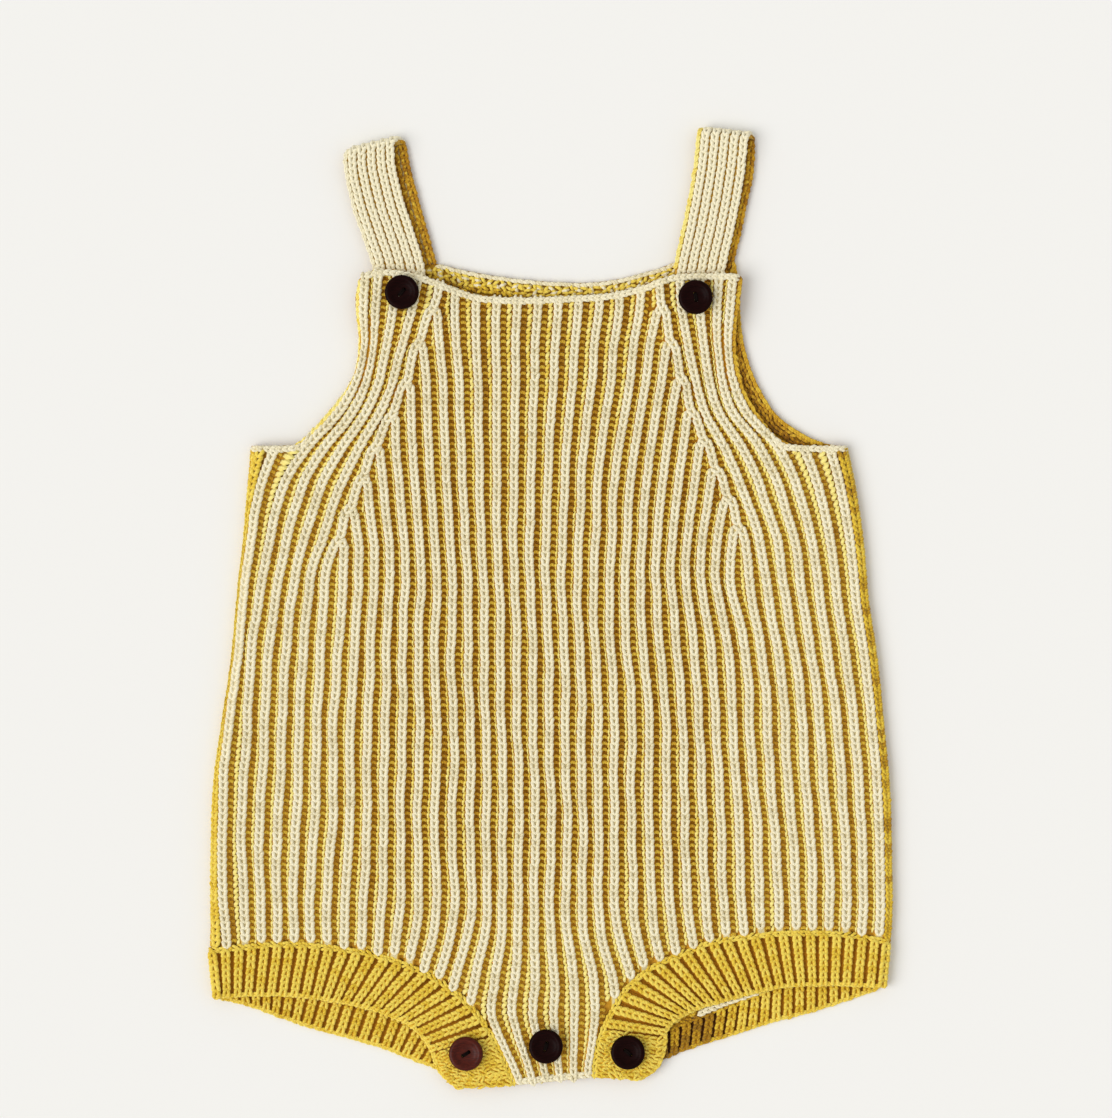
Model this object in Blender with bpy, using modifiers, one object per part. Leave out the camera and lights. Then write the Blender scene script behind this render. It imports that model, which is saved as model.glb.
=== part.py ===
"""A baby romper in two-colour rib knit, laid flat on its back. Blender 4.5, metres.

X runs across the garment, Y from the crotch edge up to the shoulder straps, and Z up from the
surface that it lies on. While the pieces are made, heights are measured from the crotch edge.
At the end the whole garment is moved so that the middle of its box stands on the origin.

The pieces lie in two layers. The back panel, the back halves of the leg bands and the back runs
of the straps lie on the surface. The front panel and the front halves lie on them, a small gap
above. Each strap leaves the back, folds over at the shoulder and ends under the bib's corner.
"""

import math
from collections import namedtuple

import bmesh
import bpy
import numpy as np
from mathutils import Vector
from mathutils.geometry import delaunay_2d_cdt

# Cloth
GAP = 0.0003  # left between two pieces that touch
BACK_WALL = 0.0024  # thickness of the lower layer
FRONT_WALL = 0.0022  # thickness of the front panel, without its ribs
RIB_RISE = 0.0010  # how far a rib of the front panel stands above its groove
CREST_SHARE, FOOT_SHARE = 0.22, 0.36  # half widths of a rib's crest and foot, in rib spacings
FRONT_FLOOR = BACK_WALL + GAP  # height of the front panel's inside
CROWN, CROWN_WIDTH, CROWN_LENGTH, CROWN_HEIGHT = 0.0014, 0.135, 0.150, 0.170  # the belly's swell
SEAM_ROLL, SEAM_DEPTH = 0.0014, 0.0035  # how far each panel rolls in at the side seams
SNAP, FINE_SNAP = 1e-4, 1e-7  # points nearer than this are one point, on a panel and on its rim
INSIDE_ONLY = 1  # delaunay_2d_cdt's output type for the triangles inside an outline

# Straps, 5 ribs wide
STRAP_WIDTH, STRAP_WALL, STRAP_RISE, STRAP_RIBS = 0.0228, 0.0024, 0.0007, 5
STRAP_FOLD = 0.0022  # radius of the fold at the shoulder, at the middle of the wall
STRAP_SETTLE = 0.018  # length over which the upper run comes down onto the lower one
STRAP_LIFT = STRAP_WALL + STRAP_RISE + GAP  # how far the bib's corners are raised by them
LIFT_MARGIN, LIFT_RAMP = 0.0015, 0.0150  # the bib stays raised this far round, then comes down

# Leg bands
BAND_WALL, BAND_RISE = 0.0024, 0.0007
BAND_FOLD = 0.0016  # radius of the fold at the side, at the middle of the wall
BAND_REACH = BAND_FOLD + BAND_WALL / 2  # from the side fold's outer line to where the band is flat
BAND_SETTLE = 0.018
BAND_RIB = 0.0053  # rib spacing along the band
EDGE_SHARE = 0.93  # where the rounding of a band's free edge starts, from its seam

# Buttons
BUTTON_RADIUS, BUTTON_THICKNESS, BUTTON_DISH = 0.0075, 0.0034, 0.0012
HOLE_RADIUS, HOLE_OFFSET = 0.0008, 0.0015

# Front ribs are numbered from the left. The raglan ribs swallow their inner neighbours.
RIBS = 39
FIRST, RAGLAN_LEFT, INNER_LEFT, INNER_RIGHT, RAGLAN_RIGHT, LAST = 1, 5, 14, 23, 32, 36
OUTER_LEFT_SHARES, OUTER_RIGHT_SHARES = (0.56,), (0.36, 0.74)  # ribs outside FIRST and LAST

Decreases = namedtuple("Decreases", "start step count")
LEFT_DECREASES = Decreases(start=0.2262, step=0.01446, count=8)
RIGHT_DECREASES = Decreases(start=0.2338, step=0.01354, count=8)

RibRow = namedtuple("RibRow", "height first raglan_left inner_left inner_right raglan_right last")
RIB_ROWS = [
    RibRow(0.0000, -0.1342, -0.1052, -0.0250, 0.0280, 0.1012, 0.1298),
    RibRow(0.0211, -0.1342, -0.1052, -0.0374, 0.0361, 0.1012, 0.1298),
    RibRow(0.0330, -0.1342, -0.1052, -0.0436, 0.0387, 0.1012, 0.1298),
    RibRow(0.0475, -0.1342, -0.1052, -0.0418, 0.0365, 0.1012, 0.1298),
    RibRow(0.0695, -0.1342, -0.1052, -0.0361, 0.0299, 0.1012, 0.1298),
    RibRow(0.1267, -0.1349, -0.1032, -0.0350, 0.0286, 0.0972, 0.1289),
    RibRow(0.1707, -0.1322, -0.1014, -0.0352, 0.0277, 0.0950, 0.1245),
    RibRow(0.2147, -0.1280, -0.0994, -0.0361, 0.0264, 0.0889, 0.1188),
    RibRow(0.2279, -0.1258, -0.0972, -0.0365, 0.0264, 0.0871, 0.1166),
    RibRow(0.2407, -0.1232, -0.0920, -0.0372, 0.0268, 0.0845, 0.1146),
    RibRow(0.2552, -0.1195, -0.0871, -0.0381, 0.0275, 0.0790, 0.1109),
    RibRow(0.2693, -0.1148, -0.0816, -0.0387, 0.0282, 0.0735, 0.1069),
    RibRow(0.2829, -0.1056, -0.0757, -0.0394, 0.0293, 0.0684, 0.0994),
    RibRow(0.2966, -0.0942, -0.0691, -0.0400, 0.0310, 0.0623, 0.0867),
    RibRow(0.3111, -0.0860, -0.0623, -0.0407, 0.0334, 0.0572, 0.0801),
    RibRow(0.3265, -0.0816, -0.0572, -0.0414, 0.0361, 0.0526, 0.0781),
    RibRow(0.3419, -0.0814, -0.0506, -0.0414, 0.0394, 0.0488, 0.0788),
    RibRow(0.3600, -0.0810, -0.0470, -0.0409, 0.0402, 0.0472, 0.0808),
]

SideRow = namedtuple("SideRow", "height left right")
SIDES = [
    SideRow(0.0620, -0.1490, 0.1490),
    SideRow(0.0695, -0.1489, 0.1497),
    SideRow(0.1025, -0.1488, 0.1499),
    SideRow(0.1355, -0.1474, 0.1488),
    SideRow(0.1619, -0.1436, 0.1463),
    SideRow(0.1883, -0.1392, 0.1437),
    SideRow(0.2147, -0.1368, 0.1398),
    SideRow(0.2407, -0.1344, 0.1375),
    SideRow(0.2675, -0.1324, 0.1335),
    SideRow(0.2825, -0.1311, 0.1302),
]

# Outlines, as points (x, height) on a smooth line
Spot = namedtuple("Spot", "x height")
FRONT_LEFT_ARMHOLE = [
    Spot(-0.1311, 0.2825), Spot(-0.1118, 0.2829), Spot(-0.1060, 0.2873), Spot(-0.0999, 0.2939),
    Spot(-0.0942, 0.3005), Spot(-0.0893, 0.3071), Spot(-0.0854, 0.3150), Spot(-0.0838, 0.3269),
    Spot(-0.0848, 0.3380), Spot(-0.0853, 0.3470), Spot(-0.0840, 0.3546),
]
FRONT_NECK = [
    Spot(-0.0840, 0.3546), Spot(-0.0801, 0.3586), Spot(-0.0700, 0.3599), Spot(-0.0563, 0.3573),
    Spot(-0.0429, 0.3525), Spot(-0.0295, 0.3485), Spot(-0.0092, 0.3478), Spot(0.0084, 0.3485),
    Spot(0.0246, 0.3495), Spot(0.0381, 0.3522), Spot(0.0475, 0.3555), Spot(0.0576, 0.3579),
    Spot(0.0805, 0.3579), Spot(0.0845, 0.3555),
]
FRONT_RIGHT_ARMHOLE = [
    Spot(0.0845, 0.3555), Spot(0.0838, 0.3494), Spot(0.0816, 0.3335), Spot(0.0820, 0.3203),
    Spot(0.0853, 0.3071), Spot(0.0915, 0.2961), Spot(0.0990, 0.2866), Spot(0.1056, 0.2830),
    Spot(0.1302, 0.2825),
]
BACK_LEFT_ARMHOLE = [
    Spot(-0.1311, 0.2821), Spot(-0.1109, 0.2825), Spot(-0.1047, 0.2873), Spot(-0.0928, 0.3005),
    Spot(-0.0880, 0.3071), Spot(-0.0840, 0.3150), Spot(-0.0823, 0.3269), Spot(-0.0822, 0.3400),
    Spot(-0.0792, 0.3511), Spot(-0.0720, 0.3608),
]
BACK_NECK = [
    Spot(-0.0497, 0.3626), Spot(-0.0361, 0.3593), Spot(-0.0158, 0.3560), Spot(0.0084, 0.3542),
    Spot(0.0246, 0.3549), Spot(0.0383, 0.3577), Spot(0.0475, 0.3604), Spot(0.0560, 0.3637),
]
BACK_RIGHT_ARMHOLE = [
    Spot(0.0812, 0.3637), Spot(0.0820, 0.3599), Spot(0.0832, 0.3520), Spot(0.0838, 0.3380),
    Spot(0.0854, 0.3269), Spot(0.0893, 0.3137), Spot(0.0964, 0.3005), Spot(0.1021, 0.2939),
    Spot(0.1122, 0.2873), Spot(0.1200, 0.2838), Spot(0.1302, 0.2821),
]

# Each leg band from its seam to its free edge, in steps from the crotch to the side fold on the
# front, and on from the fold to the crotch on the back
BandRow = namedtuple("BandRow", "seam_x seam_height edge_x edge_height")
BANDS = {
    "leg_band_left": {
        "front": [
            BandRow(-0.0150, 0.0020, -0.0414, 0.0006), BandRow(-0.0197, 0.0132, -0.0487, 0.0070),
            BandRow(-0.0245, 0.0229, -0.0522, 0.0150), BandRow(-0.0310, 0.0326, -0.0562, 0.0222),
            BandRow(-0.0403, 0.0422, -0.0634, 0.0286), BandRow(-0.0513, 0.0497, -0.0713, 0.0321),
            BandRow(-0.0619, 0.0550, -0.0792, 0.0348), BandRow(-0.0777, 0.0600, -0.0902, 0.0374),
            BandRow(-0.0990, 0.0633, -0.1047, 0.0396), BandRow(-0.1148, 0.0645, -0.1184, 0.0407),
            BandRow(-0.1307, 0.0635, -0.1325, 0.0407), BandRow(-0.1503, 0.0616, -0.1478, 0.0396),
        ],
        "back": [
            BandRow(-0.1503, 0.0616, -0.1478, 0.0396), BandRow(-0.1320, 0.0600, -0.1311, 0.0354),
            BandRow(-0.1144, 0.0563, -0.1188, 0.0308), BandRow(-0.0968, 0.0510, -0.1043, 0.0260),
            BandRow(-0.0801, 0.0449, -0.0880, 0.0216), BandRow(-0.0638, 0.0387, -0.0722, 0.0168),
            BandRow(-0.0493, 0.0326, -0.0612, 0.0124), BandRow(-0.0361, 0.0255, -0.0493, 0.0080),
            BandRow(-0.0243, 0.0167, -0.0400, 0.0047), BandRow(-0.0190, 0.0070, -0.0330, 0.0030),
        ],
    },
    "leg_band_right": {
        "front": [
            BandRow(0.0188, 0.0053, 0.0400, 0.0044), BandRow(0.0190, 0.0120, 0.0471, 0.0088),
            BandRow(0.0202, 0.0190, 0.0508, 0.0158), BandRow(0.0222, 0.0250, 0.0514, 0.0215),
            BandRow(0.0245, 0.0303, 0.0520, 0.0258), BandRow(0.0293, 0.0390, 0.0554, 0.0299),
            BandRow(0.0364, 0.0481, 0.0607, 0.0330), BandRow(0.0465, 0.0551, 0.0673, 0.0356),
            BandRow(0.0581, 0.0604, 0.0748, 0.0378), BandRow(0.0713, 0.0653, 0.0840, 0.0402),
            BandRow(0.0867, 0.0675, 0.0946, 0.0428), BandRow(0.1016, 0.0692, 0.1056, 0.0447),
            BandRow(0.1219, 0.0692, 0.1214, 0.0453), BandRow(0.1368, 0.0675, 0.1351, 0.0449),
            BandRow(0.1497, 0.0656, 0.1476, 0.0444),
        ],
        "back": [
            BandRow(0.1497, 0.0656, 0.1476, 0.0444), BandRow(0.1320, 0.0594, 0.1320, 0.0388),
            BandRow(0.1166, 0.0528, 0.1166, 0.0337), BandRow(0.0977, 0.0453, 0.0968, 0.0285),
            BandRow(0.0836, 0.0392, 0.0814, 0.0235), BandRow(0.0682, 0.0334, 0.0664, 0.0188),
            BandRow(0.0572, 0.0290, 0.0563, 0.0152), BandRow(0.0440, 0.0238, 0.0475, 0.0115),
            BandRow(0.0308, 0.0167, 0.0396, 0.0079), BandRow(0.0232, 0.0090, 0.0322, 0.0057),
        ],
    },
}

SIDE_OF = {"leg_band_left": "left", "leg_band_right": "right"}

# The middle line of each strap, from its end under the bib to the shoulder fold and, shifted
# sideways, from the fold down to the back panel. Tilt is the rise of the strap's cross line.
StrapRow = namedtuple("StrapRow", "x height tilt")
STRAPS = {
    "strap_left": {
        "front": [
            StrapRow(-0.0634, 0.3423, 0.00), StrapRow(-0.0647, 0.3511, 0.02),
            StrapRow(-0.0669, 0.3634, 0.08), StrapRow(-0.0708, 0.3753, 0.14),
            StrapRow(-0.0752, 0.3885, 0.20), StrapRow(-0.0786, 0.4030, 0.23),
            StrapRow(-0.0792, 0.4124, 0.24),
        ],
        "back": [
            StrapRow(-0.0738, 0.4124, 0.24), StrapRow(-0.0722, 0.4030, 0.22),
            StrapRow(-0.0684, 0.3885, 0.16), StrapRow(-0.0646, 0.3753, 0.10),
            StrapRow(-0.0609, 0.3621, 0.08),
        ],
    },
    "strap_right": {
        "front": [
            StrapRow(0.0630, 0.3423, 0.00), StrapRow(0.0642, 0.3511, -0.02),
            StrapRow(0.0664, 0.3634, -0.05), StrapRow(0.0691, 0.3753, -0.08),
            StrapRow(0.0718, 0.3885, -0.10), StrapRow(0.0742, 0.4030, -0.11),
            StrapRow(0.0758, 0.4179, -0.11),
        ],
        "back": [
            StrapRow(0.0792, 0.4179, -0.11), StrapRow(0.0784, 0.4030, -0.10),
            StrapRow(0.0754, 0.3885, -0.08), StrapRow(0.0727, 0.3753, -0.04),
            StrapRow(0.0700, 0.3640, 0.00),
        ],
    },
}

# The middle of each button
ButtonRow = namedtuple("ButtonRow", "name x height")
BUTTONS = [
    ButtonRow("button_strap_left", -0.0647, 0.3494),
    ButtonRow("button_strap_right", 0.0636, 0.3472),
    ButtonRow("button_crotch_left", -0.0368, 0.0162),
    ButtonRow("button_crotch_centre", -0.0018, 0.0194),
    ButtonRow("button_crotch_right", 0.0341, 0.0168),
]

# sRGB colour and roughness of each finish
COLOURS = {
    "two_colour_rib": ((0.90, 0.80, 0.46), 0.9),
    "mustard_rib": ((0.84, 0.69, 0.20), 0.9),
    "dark_button": ((0.16, 0.06, 0.06), 0.35),
}


def linear(channel):
    """An sRGB channel as a linear one."""
    return channel / 12.92 if channel <= 0.04045 else ((channel + 0.055) / 1.055) ** 2.4


def material(name):
    """The Principled material of a finish, made on its first use."""
    if name in bpy.data.materials:
        return bpy.data.materials[name]
    colour, roughness = COLOURS[name]
    made = bpy.data.materials.new(name)
    made.use_nodes = True
    shader = made.node_tree.nodes["Principled BSDF"]
    shader.inputs["Base Color"].default_value = [linear(channel) for channel in colour] + [1.0]
    shader.inputs["Roughness"].default_value = roughness
    made.diffuse_color = shader.inputs["Base Color"].default_value
    return made


def read(rows, column, key, at):
    """One column of a table as a smooth function of another, which rises from row to row."""
    places = np.array([getattr(row, key) for row in rows])
    values = np.array([getattr(row, column) for row in rows])
    slopes = np.gradient(values, places)
    at = np.clip(at, places[0], places[-1])
    low = np.clip(np.searchsorted(places, at) - 1, 0, len(places) - 2)
    step = places[low + 1] - places[low]
    t = (at - places[low]) / step
    return (
        values[low] * (1 + 2 * t) * (1 - t) ** 2
        + slopes[low] * step * t * (1 - t) ** 2
        + values[low + 1] * t * t * (3 - 2 * t)
        + slopes[low + 1] * step * t * t * (t - 1)
    )


def along(rows, count):
    """Every column of a table read smoothly at even steps of its row number, one row for each."""
    names = rows[0]._fields
    steps = np.arange(len(rows), dtype=float)
    Numbered = namedtuple("Numbered", names + ("step",))
    numbered = [Numbered(*row, step) for row, step in zip(rows, steps)]
    at = np.linspace(0.0, steps[-1], count)
    return np.stack([read(numbered, name, "step", at) for name in names], axis=1)


def smooth_step(t):
    t = np.clip(t, 0.0, 1.0)
    return t * t * (3 - 2 * t)


def side(height, which):
    """x of the body's side edge at a height."""
    return read(SIDES, which, "height", height)


def ribs_at(height):
    """x of the 39 ribs at a height, with the rib spacing on the left and on the right of each.

    A rib that a raglan rib has swallowed lies on that raglan rib."""
    row = {name: float(read(RIB_ROWS, name, "height", height)) for name in RibRow._fields[1:]}
    centres, before, after = np.zeros(RIBS), np.zeros(RIBS), np.zeros(RIBS)

    def spread(first, last, start, end):
        """Ribs first to last, evenly spread from start to end."""
        step = (end - start) / (last - first)
        centres[first : last + 1] = start + step * np.arange(last - first + 1)
        after[first:last] = before[first + 1 : last + 1] = step

    def swallow(outer, inner, start, end, decreases):
        """Ribs between a raglan rib and the inner ribs, as many of them as are left."""
        gone = np.clip((height - decreases.start) / decreases.step, 0, decreases.count)
        way = 1 if inner > outer else -1
        step = (end - start) / (abs(inner - outer) - gone)
        number = np.arange(1, abs(inner - outer))
        ids = outer + way * number
        centres[ids] = start + step * np.maximum(number - gone, 0.0)
        before[ids] = after[ids] = abs(step)
        if way > 0:
            after[outer] = before[inner] = abs(step)
        else:
            before[outer] = after[inner] = abs(step)

    spread(FIRST, RAGLAN_LEFT, row["first"], row["raglan_left"])
    spread(INNER_LEFT, INNER_RIGHT, row["inner_left"], row["inner_right"])
    spread(RAGLAN_RIGHT, LAST, row["raglan_right"], row["last"])
    swallow(RAGLAN_LEFT, INNER_LEFT, row["raglan_left"], row["inner_left"], LEFT_DECREASES)
    swallow(RAGLAN_RIGHT, INNER_RIGHT, row["raglan_right"], row["inner_right"], RIGHT_DECREASES)
    left, right = float(side(height, "left")), float(side(height, "right"))
    for number, share in enumerate(OUTER_LEFT_SHARES, 1):
        centres[FIRST - number] = row["first"] + share * (left - row["first"])
    for number, share in enumerate(OUTER_RIGHT_SHARES, 1):
        centres[LAST + number] = row["last"] + share * (right - row["last"])
    for outside in list(range(FIRST)) + list(range(LAST + 1, RIBS)):
        before[outside] = after[outside] = after[FIRST]
    before[FIRST], after[LAST] = after[FIRST], before[LAST]
    return centres, before, after


def rib_height(x, height):
    """Share of a rib's rise at a point of the front panel, 1 on a crest and 0 in a groove."""
    centres, before, after = ribs_at(height)
    way = (x - centres) / np.where(x < centres, before, after)
    share = (FOOT_SHARE - np.abs(way)) / (FOOT_SHARE - CREST_SHARE)
    return float(np.clip(share.max(), 0.0, 1.0))


def is_swallowed(rib, height):
    """Whether a raglan rib has taken this rib in below the height."""
    for outer, inner, decreases in (
        (RAGLAN_LEFT, INNER_LEFT, LEFT_DECREASES),
        (RAGLAN_RIGHT, INNER_RIGHT, RIGHT_DECREASES),
    ):
        if min(outer, inner) < rib < max(outer, inner):
            return height > decreases.start + decreases.step * abs(rib - outer) + SNAP
    return False


def strap_ends():
    """For each strap, the box (low x, high x, low height, high height) that lies under the bib."""
    boxes = []
    for strap in STRAPS.values():
        end, top = strap["front"][0], strap["front"][2]
        low, high = min(end.x, top.x), max(end.x, top.x)
        half = STRAP_WIDTH / 2
        boxes.append((low - half, high + half, end.height, top.height))
    return boxes


def lift(x, height):
    """How far the strap ends raise the bib at a point."""
    most = 0.0
    for low_x, high_x, low, high in strap_ends():
        aside = max(low_x - x, x - high_x, 0.0)
        below = max(low - height, height - high, 0.0)
        away = max(math.hypot(aside, below) - LIFT_MARGIN, 0.0)
        most = max(most, float(smooth_step(1 - away / LIFT_RAMP)))
    return STRAP_LIFT * most


def bump(t):
    return (1 - t * t) ** 2 if abs(t) < 1 else 0.0


def front_inside(x, height):
    crown = CROWN * bump(x / CROWN_WIDTH) * bump((height - CROWN_HEIGHT) / CROWN_LENGTH)
    return FRONT_FLOOR + crown + lift(x, height)


def seam_roll(x, height):
    """How far a panel's outer face comes in near the side seams."""
    if height > SIDES[-1].height + SNAP:
        return 0.0
    inside = min(x - side(height, "left"), side(height, "right") - x)
    return SEAM_ROLL * float(np.clip(1 - inside / SEAM_DEPTH, 0.0, 1.0))


def front_outside(x, height):
    above = FRONT_WALL + RIB_RISE * rib_height(x, height) - seam_roll(x, height)
    return front_inside(x, height) + above


def back_inside(x, height):
    return BACK_WALL


def back_outside(x, height):
    return seam_roll(x, height)


def is_inside(outline, x, y):
    """Whether a point lies inside a closed outline."""
    start, end = outline, np.roll(outline, -1, axis=0)
    crosses = (start[:, 1] > y) != (end[:, 1] > y)
    rise = np.where(crosses, end[:, 1] - start[:, 1], 1.0)
    at = start[:, 0] + (y - start[:, 1]) * (end[:, 0] - start[:, 0]) / rise
    return bool((crosses & (at > x)).sum() % 2)


def triangulate(outline, lines, spots, snap):
    """Triangles inside an outline, with the outline and the lines as edges."""
    points, edges = [], []
    for line, closed in [(outline, True)] + [(line, False) for line in lines]:
        start = len(points)
        points.extend(Vector(point) for point in line)
        edges.extend((index, index + 1) for index in range(start, len(points) - 1))
        if closed:
            edges.append((len(points) - 1, start))
    points.extend(Vector(point) for point in spots)
    placed, _, faces, origins, *_ = delaunay_2d_cdt(points, edges, [], INSIDE_ONLY, snap)
    rim = np.array([tuple(point) for point in outline])
    centres = [sum((placed[index] for index in face), Vector((0.0, 0.0))) / 3 for face in faces]
    faces = [face for face, centre in zip(faces, centres) if is_inside(rim, *centre)]
    return placed, faces, origins


def rim_of(faces):
    """The vertices round the open edge of some triangles, in order."""
    edges = {(face[i - 1], face[i]) for face in faces for i in range(3)}
    following = {a: b for a, b in edges if (b, a) not in edges}
    loop = [min(following)]
    while following[loop[-1]] != loop[0]:
        loop.append(following[loop[-1]])
    return loop


def sheet(name, outline, top, bottom, top_lines=(), bottom_lines=(), bottom_spots=()):
    """A wall of cloth over an outline, between two surfaces that are heights over it."""
    points, faces, _ = triangulate(outline, top_lines, (), SNAP)
    rim = rim_of(faces)
    rim_points = [points[index] for index in rim]
    low_points, low_faces, origins = triangulate(rim_points, bottom_lines, bottom_spots, FINE_SNAP)
    mesh = bmesh.new()
    upper, lower = {}, {}
    for index in sorted({index for face in faces for index in face}):
        x, y = points[index]
        upper[index] = mesh.verts.new((x, y, top(x, y)))
    for index in sorted({index for face in low_faces for index in face}):
        x, y = low_points[index]
        lower[index] = mesh.verts.new((x, y, bottom(x, y)))
    for face in faces:
        mesh.faces.new([upper[index] for index in face])
    for face in low_faces:
        mesh.faces.new([lower[index] for index in reversed(face)])
    below = {}
    for index, given in enumerate(origins):
        below.update((origin, index) for origin in given if origin < len(rim))
    for place, index in enumerate(rim):
        following = (place + 1) % len(rim)
        mesh.faces.new(
            (upper[index], lower[below[place]], lower[below[following]], upper[rim[following]])
        )
    return finished(name, mesh, "two_colour_rib")


def loft(name, rings, finish):
    """A closed body through rings of equal length, with flat ends."""
    mesh = bmesh.new()
    rows = [[mesh.verts.new(point) for point in ring] for ring in rings]
    for low, high in zip(rows, rows[1:]):
        for i in range(len(low)):
            mesh.faces.new((low[i - 1], low[i], high[i], high[i - 1]))
    mesh.faces.new(rows[0])
    mesh.faces.new(list(reversed(rows[-1])))
    return finished(name, mesh, finish)


def finished(name, mesh, finish):
    """Makes the object of a mesh, its faces outwards, in the romper's collection."""
    bmesh.ops.recalc_face_normals(mesh, faces=mesh.faces)
    data = bpy.data.meshes.new(name)
    mesh.to_mesh(data)
    mesh.free()
    return placed_in("romper", name, data, finish)


def placed_in(collection, name, data, finish):
    if collection not in bpy.data.collections:
        bpy.context.scene.collection.children.link(bpy.data.collections.new(collection))
    made = bpy.data.objects.new(name, data)
    bpy.data.collections[collection].objects.link(made)
    if finish and not data.materials:
        data.materials.append(material(finish))
    return made


def leg_line(name, half):
    """A panel's edge along a leg band, a gap inside the band's seam, from the crotch to the side."""
    rows = flat_rows(name, half)
    if half == "back":
        rows = rows[::-1]
    across = rows[:, :2] - rows[:, 2:]
    line = rows[:, :2] + GAP * across / np.linalg.norm(across, axis=1)[:, None]
    fold = BANDS[name]["front"][-1]
    edge = float(side(SIDES[0].height, SIDE_OF[name]))
    turn = math.copysign(abs(fold.seam_x) - BAND_REACH, edge)
    corner = [(turn, fold.seam_height + GAP), (edge, fold.seam_height + GAP)]
    return np.concatenate([line, corner])


def body_outline(half, left_arm, neck, right_arm):
    """A panel's closed outline, from the left underarm over the bib and round the legs."""
    side_heights = np.linspace(SIDES[-1].height, SIDES[0].height, 12)[1:-1]
    points = [tuple(row) for table in (left_arm, neck, right_arm) for row in along(table, 2 * len(table))]
    points += [(float(side(height, "right")), height) for height in side_heights]
    points += [tuple(row) for row in leg_line("leg_band_right", half)[::-1]]
    points += [tuple(row) for row in leg_line("leg_band_left", half)]
    points += [(float(side(height, "left")), height) for height in side_heights[::-1]]
    return [point for point, last in zip(points, points[-1:] + points) if math.dist(point, last) > SNAP]


def seam_lines(inset):
    """A line inside each side seam, where the roll of the seam starts."""
    heights = np.linspace(SIDES[0].height + inset, SIDES[-1].height - inset, 12)
    return [
        [(float(side(height, "left")) + inset, height) for height in heights],
        [(float(side(height, "right")) - inset, height) for height in heights],
    ]


def rib_lines():
    """The edges of every rib's crest and foot on the front panel."""
    tab = [-0.002, 0.0165, 0.033]
    body = [0.050, 0.085, 0.120, 0.160, 0.205]
    bib = [0.2350, 0.2580, 0.2693, 0.2829, 0.2966, 0.3080, 0.3200, 0.3320, 0.3420]
    bib_top = [0.3500, 0.3620]
    levels = {height: ribs_at(height) for height in tab + body + bib + bib_top}
    lines = []
    for rib in range(RIBS):
        low = tab[0] if INNER_LEFT + 1 <= rib <= INNER_RIGHT - 1 else body[0]
        high = SIDES[-1].height + SNAP if rib < FIRST or rib > LAST else bib_top[-1]
        heights = [h for h in levels if low <= h <= high and not is_swallowed(rib, h)]
        if heights[-1] < high:
            heights += merge_height(rib)
        for share in (-FOOT_SHARE, -CREST_SHARE, CREST_SHARE, FOOT_SHARE):
            line = []
            for height in heights:
                centres, before, after = levels.get(height) or ribs_at(height)
                spacing = before[rib] if share < 0 else after[rib]
                line.append((centres[rib] + share * spacing, height))
            lines.append(line)
    return lines


def merge_height(rib):
    """The height at which a raglan rib swallows this rib, in a list, or the underarm's height."""
    if RAGLAN_LEFT < rib < INNER_LEFT:
        return [LEFT_DECREASES.start + LEFT_DECREASES.step * (rib - RAGLAN_LEFT)]
    if INNER_RIGHT < rib < RAGLAN_RIGHT:
        return [RIGHT_DECREASES.start + RIGHT_DECREASES.step * (RAGLAN_RIGHT - rib)]
    return [SIDES[-1].height]


def make_front():
    outline = body_outline("front", FRONT_LEFT_ARMHOLE, FRONT_NECK, FRONT_RIGHT_ARMHOLE)
    rim = np.array(outline)
    coarse = [(x, y) for x in np.arange(-0.12, 0.13, 0.03) for y in np.arange(0.08, 0.30, 0.03)]
    fine = [(x, y) for x in np.arange(-0.080, 0.081, 0.008) for y in np.arange(0.312, 0.355, 0.007)]
    spots = [spot for spot in coarse + fine if is_inside(rim, *spot)]
    return sheet(
        "front_panel", outline, front_outside, front_inside, rib_lines() + seam_lines(SEAM_DEPTH),
        bottom_spots=spots,
    )


def make_back():
    outline = body_outline("back", BACK_LEFT_ARMHOLE, BACK_NECK, BACK_RIGHT_ARMHOLE)
    return sheet(
        "back_panel", outline, back_inside, back_outside, bottom_lines=seam_lines(SEAM_DEPTH)
    )


def make_strap(name):
    """A strap as one strip: the run under the bib, the shoulder fold and the run to the back."""
    middle = STRAP_WALL / 2
    upper = 2 * STRAP_FOLD + middle
    front, back = STRAPS[name]["front"], STRAPS[name]["back"]
    fold_length = front[-1].height
    stations = []
    for x, height, tilt in along(front, 9):
        settled = smooth_step((fold_length - height) / STRAP_SETTLE)
        z = upper + settled * (FRONT_FLOOR + middle - upper)
        stations.append((x, height, tilt, z, math.pi / 2, 1.0))
    for turn in np.linspace(0, 1, 7)[1:-1]:
        angle = math.pi * (0.5 - turn)
        x = front[-1].x + turn * (back[0].x - front[-1].x)
        height = fold_length + STRAP_FOLD * math.cos(angle)
        z = middle + STRAP_FOLD * (1 + math.sin(angle))
        stations.append((x, height, front[-1].tilt, z, angle, 1.0 - turn))
    for x, height, tilt in along(back, 7):
        stations.append((x, height, tilt, middle, -math.pi / 2, 0.0))
    rings = [strap_ring(*station) for station in stations]
    return loft(name, rings, "two_colour_rib")


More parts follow.
